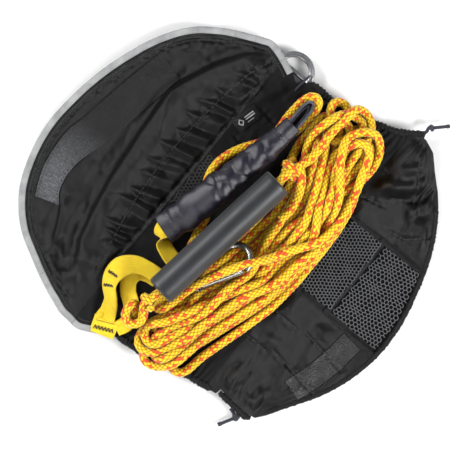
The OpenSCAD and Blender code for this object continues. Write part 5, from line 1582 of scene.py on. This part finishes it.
kbo = kb.done("carabiner_forging", [M_ALLOY])
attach(kbo, "bag")
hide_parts("carabiner_body")

# ------------------------------------------------------------------ label, pocket, belt sleeve
def plate(name, centre, turn, w, h, z, thick, mat, puff=0.25, n=26, m=16, relief=None, lift=None):
    """A sewn-down patch: rounded corners, puffed between its stitches."""
    u, v_ = np.meshgrid(np.linspace(-1, 1, n), np.linspace(-1, 1, m))
    rr = 0.12
    ux = u * (1 - rr * 0.25 * v_**8)
    vy = v_ * (1 - rr * 0.25 * u**8)
    X, Y_ = ux * w / 2, vy * h / 2
    c_, s_ = math.cos(turn), math.sin(turn)
    x, y = centre[0] + X * c_ - Y_ * s_, centre[1] + X * s_ + Y_ * c_
    hz = puff * (1 - u**6) * (1 - v_**6) + 0.12 * n_small(x, y)
    base_h = h_base(x, y) if lift is None else lift
    return panel(name, x, y, lambda a, b: base_h + z + hz, mat, thick), (c_, s_)


pk, _ = plate("pocket_inner", (65, 36.5), math.radians(-8), 30, 19, 0.9, 0.8, M_BASE, 0.5, 30, 20)
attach(pk, "bag")
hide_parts("inner_pocket")
LT = math.radians(-15)
lb, _ = plate("label_cloth", (69, 49.3), LT, 22.4, 12.4, 1.7, 0.6, M_LABEL, 0.3, 34, 20)
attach(lb, "bag")
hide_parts("label_patch")


def on_label(x, y):
    c_, s_ = math.cos(LT), math.sin(LT)
    X, Y_ = 69 + x * c_ - y * s_, 49.3 + x * s_ + y * c_
    return X, Y_


lz = float(h_base(69.0, 49.3)) + 2.05
lm = Bag()


def satin(x0, y0, x1, y1, wide):
    """A bar of satin stitches, each a thread laid across it."""
    a, b = np.array([x0, y0], float), np.array([x1, y1], float)
    d = b - a
    n_ = int(np.linalg.norm(d) / 0.34)
    d /= np.linalg.norm(d)
    o = np.array([-d[1], d[0]]) * wide / 2
    for i in range(n_ + 1):
        q = a + d * (i * 0.34)
        p0, p1 = on_label(*(q - o)), on_label(*(q + o))
        z0 = float(h_base(np.array(p0[0]), np.array(p0[1]))) + 1.98
        line = np.array([(p0[0], p0[1], z0 - 0.15), ((p0[0] + p1[0]) / 2, (p0[1] + p1[1]) / 2, z0 + 0.28), (p1[0], p1[1], z0 - 0.15)])
        vv, ff, uu, _ = tube_parts(line, 0.19, 5, True)
        lm.add(vv, ff)


# a plain lozenge and three plain bars: no lettering
for a, b in (((-7.6, 0.4), (-5.4, 3.0)), ((-5.4, 3.0), (-3.2, 0.4)), ((-3.2, 0.4), (-5.4, -2.2)), ((-5.4, -2.2), (-7.6, 0.4))):
    satin(*a, *b, 0.9)
satin(-0.8, 2.2, 7.8, 2.2, 1.1)
satin(-0.8, 0.2, 7.8, 0.2, 1.1)
satin(-0.8, -2.4, 5.2, -2.4, 0.5)
lmo = lm.done("label_marks", [M_LABELW])
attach(lmo, "bag")

# belt sleeve: a padded band sewn on along both long edges, open at its ends
hb = 28.5
prof = [(-hb, 10.1), (-hb - 0.1, 8.4), (-hb + 0.6, 4.4), (-hb + 2.6, 1.4), (-22, 0.35), (-12, 0.12), (0, 0.05), (12, 0.12), (22, 0.35), (hb - 2.6, 1.4), (hb - 0.6, 4.4), (hb + 0.1, 8.4), (hb, 10.1)]
pc = catmull(prof, n=64)
xs_ = np.linspace(-60, 60, 90)
bn = waves(71, 22)
tg = np.gradient(pc, axis=0)
tg /= np.linalg.norm(tg, axis=1)[:, None]
nrm = np.stack([-tg[:, 1], tg[:, 0]], 1)                     # inward
outer, innr = [], []
for x in xs_:
    sag = np.clip(0.35 * bn(np.full(len(pc), x), pc[:, 0]), 0, 0.8)
    endr = 0.35 * (abs(x) > 58)
    o = pc + nrm * (sag[:, None] + endr)
    outer.append(np.stack([np.full(len(pc), x), o[:, 0], np.maximum(o[:, 1], 0.02)], 1))
    i_ = pc + nrm * 1.5
    innr.append(np.stack([np.full(len(pc), x), i_[:, 0], i_[:, 1]], 1))
A, B = np.array(outer), np.array(innr)
r_, c_n = A.shape[:2]
V = np.vstack([A.reshape(-1, 3), B.reshape(-1, 3)])
n_ = r_ * c_n
F = []
for i in range(r_ - 1):
    for j in range(c_n - 1):
        a = i * c_n + j
        F.append((a, a + 1, a + c_n + 1, a + c_n))
        F.append((a + n_, a + c_n + n_, a + c_n + 1 + n_, a + 1 + n_))
for j in range(c_n - 1):
    F.append((j, j + n_, j + 1 + n_, j + 1))
    a = (r_ - 1) * c_n + j
    F.append((a, a + 1, a + 1 + n_, a + n_))
for i in range(r_ - 1):
    a = i * c_n
    F.append((a, a + c_n, a + c_n + n_, a + n_))
    a = i * c_n + c_n - 1
    F.append((a, a + n_, a + c_n + n_, a + c_n))
UV = np.vstack([np.stack([A[..., 0], A[..., 1]], -1).reshape(-1, 2)] * 2)
bs = fix_normals(make("belt_sleeve_band", V, F, M_BASE, UV))
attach(bs, "bag")
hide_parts("belt_sleeve")


# ------------------------------------------------------------------ stitches
def row_of(bag, line, hf, length=2.4, gap=1.2, r=0.3, lift=0.15, back=False):
    """Running stitch along a line on the cloth."""
    p = catmull([(a, b) for a, b in line], step=0.6) if len(line) > 2 else resample(np.array(line, float), step=0.6)
    s = np.concatenate([[0], np.cumsum(np.linalg.norm(np.diff(p, axis=0), axis=1))])
    k = 0.4
    while k + length < s[-1]:
        q = np.stack([np.interp([k, k + length * 0.3, k + length * 0.7, k + length], s, p[:, j]) for j in (0, 1)], 1)
        z = hf(q[:, 0], q[:, 1]) + np.array([-0.1, lift + 0.12, lift + 0.12, -0.1])
        vv, ff, uu, _ = tube_parts(np.column_stack([q, z]), np.array([0.75, 1, 1, 0.75]) * r, 5, True)
        bag.add(vv, ff)
        k += length + gap


def split(line, y0, y1):
    p = catmull(line, step=1.0) if len(line) > 2 else resample(np.array(line, float), step=1.0)
    m = (p[:, 1] > y0) & (p[:, 1] < y1)
    runs, cur = [], []
    for q, ok in zip(p, m):
        if ok:
            cur.append(tuple(q))
        elif len(cur) > 4:
            runs.append(cur)
            cur = []
        else:
            cur = []
    if len(cur) > 4:
        runs.append(cur)
    return runs


g1, g2, g3, g4, g5 = Bag(), Bag(), Bag(), Bag(), Bag()
for ln in (SEAM_A, SEAM_B, ALLOW_L):
    for r_ in split(ln, CUT_A, CUT_B):
        row_of(g1, r_, h_lid)
    for r_ in split(ln, CUT_B, 400):
        row_of(g2, r_, h_lid)
row_of(g2, [(p[0], p[1] - 1.6) for p in TAPE_UP], h_lid, 2.0, 1.0, 0.26, 1.5)
row_of(g2, [(p[0], p[1] + 1.6) for p in TAPE_LO], h_lid, 2.0, 1.0, 0.26, 1.5)
for s_ in SEAMS_F:
    for r_ in split(s_, CUT_D, CUT_C):
        row_of(g3, r_, h_front, 2.2, 1.0, 0.32)
    for r_ in split(s_, -400, CUT_D):
        row_of(g4, r_, h_front, 2.2, 1.0, 0.32)
    for r_ in split(s_, CUT_C, 0):
        row_of(g5, r_, h_base, 2.2, 1.0, 0.32)
hka = catmull([(-78, -108.5), (-56, -115.5), (-36, -119.5), (-17, -121.5)], step=2.0)
row_of(g4, [tuple(q) for q in hka], h_front, 1.8, 0.9, 0.24, 1.1)
row_of(g4, [(q[0], q[1] - 15.2) for q in hka], h_front, 1.8, 0.9, 0.24, 1.1)
for ln in ([(-21.5, 34), (-21.5, 56)], [(29.5, 34), (29.5, 56)], [(51, 33.5), (52.5, 46.5)], [(78.5, 30.5), (80, 43.5)], [(52, 28), (78, 25)],
           [(-140, 48), (-138, 36), (-131, 24)]):
    row_of(g5, ln, h_base, 2.2, 1.0, 0.28)
for ln in ([(-9.6, -4.9), (9.6, -4.9)], [(-9.6, 4.9), (9.6, 4.9)], [(-10, -4.4), (-10, 4.4)], [(10, -4.4), (10, 4.4)]):
    row_of(g5, [on_label(*q) for q in ln], h_base, 1.4, 0.6, 0.2, 2.0)
for bag_, nm, bl in ((g1, "stitches_lid_gusset", ("bag", "lid_rear", (0, 0.0565, 0.0115), (0, 0.0675, 0.0115))),
                     (g2, "stitches_lid", ("lid_rear", "lid", (0, 0.103, 0.0042), (0, 0.121, 0.0042))),
                     (g3, "stitches_front_gusset", ("bag", "front_rear", (0, -0.0635, 0.0115), (0, -0.0765, 0.0115))),
                     (g4, "stitches_front", ("front_rear", "front", (0, -0.0985, 0.0042), (0, -0.1135, 0.0042)))):
    o = bag_.done(nm, [M_THREAD])
    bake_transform(o)
o = g5.done("stitches_back", [M_THREAD])
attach(o, "bag")


# zigzag along the binding's inner edge
def zigzag(bag, line, hf, right=True, d0=7.6, amp=0.8, pitch=2.2, r=0.34):
    c, n_ = inward(resample(line, step=pitch / 2), d0, right)
    k = np.where(np.arange(len(c)) % 2 == 0, amp, -amp)
    q = c + n_ * k[:, None]
    z = hf(q[:, 0], q[:, 1]) + 0.35
    q = np.column_stack([q, z])
    for a, b in zip(q[:-1], q[1:]):
        vv, ff, uu, _ = tube_parts(np.array([a, (a + b) / 2 + (0, 0, 0.12), b]), np.array([0.7, 1, 0.7]) * r, 5, True)
        bag.add(vv, ff)


for nm, ln, bl in (("zigzag_corner_left", piece(full_l, 0, CUT_A, -1), None), ("zigzag_corner_right", piece(full_l, 0, CUT_A, 1), None),
                   ("zigzag_side_left", piece(full_l, CUT_A, CUT_B, -1), 1), ("zigzag_side_right", piece(full_l, CUT_A, CUT_B, 1), 1),
                   ("zigzag_lid", piece(full_l, CUT_B, 400, 0), 2)):
    zb = Bag()
    zigzag(zb, ln, h_edge)
    o = zb.done(nm, [M_THREAD])
    if bl is None:
        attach(o, "bag")
    elif bl == 1:
        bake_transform(o)
    else:
        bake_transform(o)


# ------------------------------------------------------------------ elastic cords and their end knots
def overhand(c0, ax, size):
    """Centreline of a small overhand knot about c0, entering and leaving along ax."""
    ax = np.array(ax, float) / np.linalg.norm(ax)
    b = np.cross((0, 0, 1.0), ax)
    b /= np.linalg.norm(b)
    up_ = np.cross(ax, b)
    t = np.linspace(0, 2 * math.pi, 44)
    x = size * (1.25 * (t / math.pi - 1) + 0.9 * np.sin(t))
    y = size * 0.75 * np.sin(t * 1.5 + 0.4) * smooth(t / 0.9) * smooth((2 * math.pi - t) / 0.9)
    z = size * 0.62 * np.cos(t * 1.5 + 0.4) * smooth(t / 0.9) * smooth((2 * math.pi - t) / 0.9)
    return np.array(c0) + x[:, None] * ax + y[:, None] * b + z[:, None] * up_


CORDS = []


def elastic(name, run, c0, way, tail, node, body, rr=1.45):
    """Shock cord out of its casing, an overhand knot and a short sealed end."""
    way = np.array(way, float) / np.linalg.norm(way)
    k = overhand(c0, way, 2.2)
    p = np.vstack([run, k[::4], k[-1] + way * 2.0, np.array(c0) + way * tail])
    p = catmull(p, step=0.45)
    n_ = len(p)
    sc = np.ones(n_)
    sc[-7:] = 1.22
    sc[-1] = 1.0
    v, f, uv, _ = tube_parts(p, rr, 14, True, sc[:, None] * np.ones((1, 14)))
    ob = make(name, v, f, M_ELAST, None)
    ob.data.uv_layers.new(name="UVMap").data.foreach_set("uv", (uv * np.array([9.1, 1.0]) * MM).astype(np.float32).ravel())
    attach(ob, body)
    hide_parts(node)
    CORDS.append((ob, p, rr * 2))
    return ob


elastic("cord_hem_right", [(146.6, -63.0, 9.2), (149.6, -67.4, 9.0), (152.0, -69.2, 9.0)], (157, -70.6, 9.0), (6, -6, -1), 15.0, "elastic_right", "bag")
elastic("cord_hem_left", [(-120.2, -87, 5.2), (-121.6, -91, 4.7), (-122.6, -92.8, 4.5)], (-124, -94.6, 4.4), (-9, 5, -0.6), 15.0, "elastic_left_front", "front_rear")
kp_ = catmull([(111, 33.6, 13.1), (119, 33.2, 13.1), (125, 32.4, 12.4), (127.7, 32, 9.4), (127.7, 32, 3.6), (125.6, 32.2, 1.5),
               (121.4, 33.6, 1.4), (118.2, 35, 3), (117.4, 35.4, 6), (117.2, 35.6, 9.2)], step=0.5)
v, f, uv, _ = tube_parts(kp_, 0.95, 12, True)
kl = make("cord_keeper", v, f, M_ELAST, None)
kl.data.uv_layers.new(name="UVMap").data.foreach_set("uv", (uv * np.array([6.0, 1.0]) * MM).astype(np.float32).ravel())
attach(kl, "bag")
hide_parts("keeper_loop")
CORDS.append((kl, kp_, 1.9))


# ------------------------------------------------------------------ knots in the line where it goes into the float, and its spare tail
def lump(name, c0, ax, size, turns, tilt):
    """A stopper knot of the same line, seen from outside: turns wound tight round the standing part."""
    ax = np.array(ax, float) / np.linalg.norm(ax)
    b = np.cross((0, 0, 1.0), ax)
    b /= np.linalg.norm(b)
    up_ = np.cross(ax, b)
    t = np.linspace(0, 1, 30 * turns)
    phi = 2 * math.pi * turns * t + tilt
    rr = size * (0.55 + 0.45 * np.sin(math.pi * t) ** 0.6)
    return np.array(c0) + ((t - 0.5) * 5.2 * turns)[:, None] * ax + (rr * np.cos(phi))[:, None] * b + (rr * 0.85 * np.sin(phi))[:, None] * up_


for nm, c0, tilt in (("rope_knot_right", FC + FX * 79 + (0, 0, -6.0), 0.6), ("rope_knot_left", FC - FX * 76.5 + (0, 0, -2.0), 2.2)):
    kp2 = catmull(lump(nm, c0, FX, 6.4, 2, tilt)[::3] if "right" in nm else lump(nm, c0, FX, 5.0, 1, tilt)[::2], step=0.7)
    ko = braid(nm, kp2)
    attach(ko, "bag")
    CORDS.append((ko, kp2, 7.3))


def pile_top(x, y, reach=6.0):
    """Top of the line's centreline near a point."""
    d = np.hypot(rope_line[:, 0] - x, rope_line[:, 1] - y)
    near = rope_line[d < reach]
    return float(near[:, 2].max()) if len(near) else 20.0


tx = [(66, -5.0), (62.5, -10.5), (57, -16), (49, -20.4), (40, -22.8), (31, -23.4), (22.5, -21.8)]
tz = [pile_top(*q) + 7.0 for q in tx]
tz = [min(z_, 38.0) for z_ in tz]
for _ in range(3):
    tz = [max(tz[i], (tz[max(i - 1, 0)] + tz[min(i + 1, 6)]) / 2) for i in range(7)]
tail_p = catmull([(a, b, c) for (a, b), c in zip(tx, tz)], step=0.8)
tl = braid("rope_tail", tail_p)
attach(tl, "bag")
print("tail z", tz)
CORDS.append((tl, tail_p, 8.0))


# ------------------------------------------------------------------ cloth pieces and the sizes they were cut at; each piece's extent is measured
CUT = dict(STRAP_CUT, tape_loop=(24.0, 165.0), tape_hook=(18.0, 71.0), label_cloth=(22.4, 12.4), pocket_inner=(30.0, 19.0), belt_sleeve_band=(120.0, 76.0))


def cloth(ob):
    if ob.name in CUT:
        return
    co = np.empty(len(ob.data.vertices) * 3, np.float32)
    ob.data.vertices.foreach_get("co", co)
    co = co.reshape(-1, 3)
    ext = np.ptp(co, axis=0)
    w, l = max(float(ext[0]), 0.0105), max(float(ext[1]), 0.0105)
    half = sum(p.area for p in ob.data.polygons) / 2
    k = max(1.0, math.sqrt(half / (w * l)) * 1.001)
    w, l = w * k, l * k


PIECE = {o.name: o for o in bpy.data.objects}
for nm, held, rests in (("panel_back", "laid", ["belt_sleeve_band"]), ("panel_lid_gusset", "gathered", ["panel_back"]), ("panel_lid_flap", "laid", ["panel_lid_gusset"]),
                        ("panel_front_gusset", "gathered", ["panel_back"]), ("panel_front_flap", "laid", ["panel_front_gusset"]),
                        ("net_upper", "stretched", ["panel_front_gusset"]), ("net_lower", "stretched", ["panel_front_flap"]), ("net_back", "stretched", ["panel_back"]),
                        ("tape_loop", "laid", ["panel_lid_flap"]), ("tape_hook", "laid", ["panel_front_flap"]), ("pocket_inner", "laid", ["panel_back"]),
                        ("label_cloth", "laid", ["panel_back"]), ("belt_sleeve_band", "stretched", ["panel_back"]), ("webbing_tether", "folded", ["panel_back"]),
                        ("webbing_sleeve_tail", "folded", ["panel_back"]), ("webbing_band", "folded", ["panel_back"]), ("webbing_fold", "folded", ["panel_back"])):
    cloth(PIECE[nm])
for o_, p_, d_ in CORDS:
    if o_.name.startswith("rope_knot"):
        continue

# ------------------------------------------------------------------ floor and light
fl_me = bpy.data.meshes.new("floor")
fl_me.from_pydata([(-6, -6, 0), (6, -6, 0), (6, 6, 0), (-6, 6, 0)], [], [(0, 1, 2, 3)])
floor = link(fl_me, "floor")
gf = Mat("floor_pale", rough=0.9)
nf = gf.noise(gf.obj()[0], 3.0, 2.0, 0.5)
gf.set(Base_Color=gf.ramp(nf, [(0.3, (0.90, 0.90, 0.90, 1)), (0.7, (0.93, 0.93, 0.93, 1))]))
fl_me.materials.append(gf.m)

world = bpy.data.worlds.new("soft_world")
scene.world = world
world.use_nodes = True
world.node_tree.nodes["Background"].inputs[0].default_value = (1.0, 1.0, 1.0, 1.0)
world.node_tree.nodes["Background"].inputs[1].default_value = 0.34


def area(name, loc, target, size, power):
    d = bpy.data.lights.new(name, "AREA")
    d.shape = "RECTANGLE"
    d.size, d.size_y = size
    d.energy = power
    o = bpy.data.objects.new(name, d)
    o.location = loc
    v = Vector(target) - Vector(loc)
    o.rotation_euler = v.to_track_quat("-Z", "Y").to_euler()
    scene.collection.objects.link(o)
    return o


# image up is (0.777, 0.629): the key comes from the upper left of the view, a strip along the lid
area("key", (0.25, -1.25, 1.0), (0, 0, 0), (0.8, 0.4), 29.0)
area("fill", (-0.25, 1.3, 1.0), (0, 0, 0), (0.8, 0.4), 24.0)
area("low", (-1.2, -0.1, 1.0), (0, 0, 0), (0.6, 0.6), 8.0)
scene.view_settings.view_transform = "Standard"
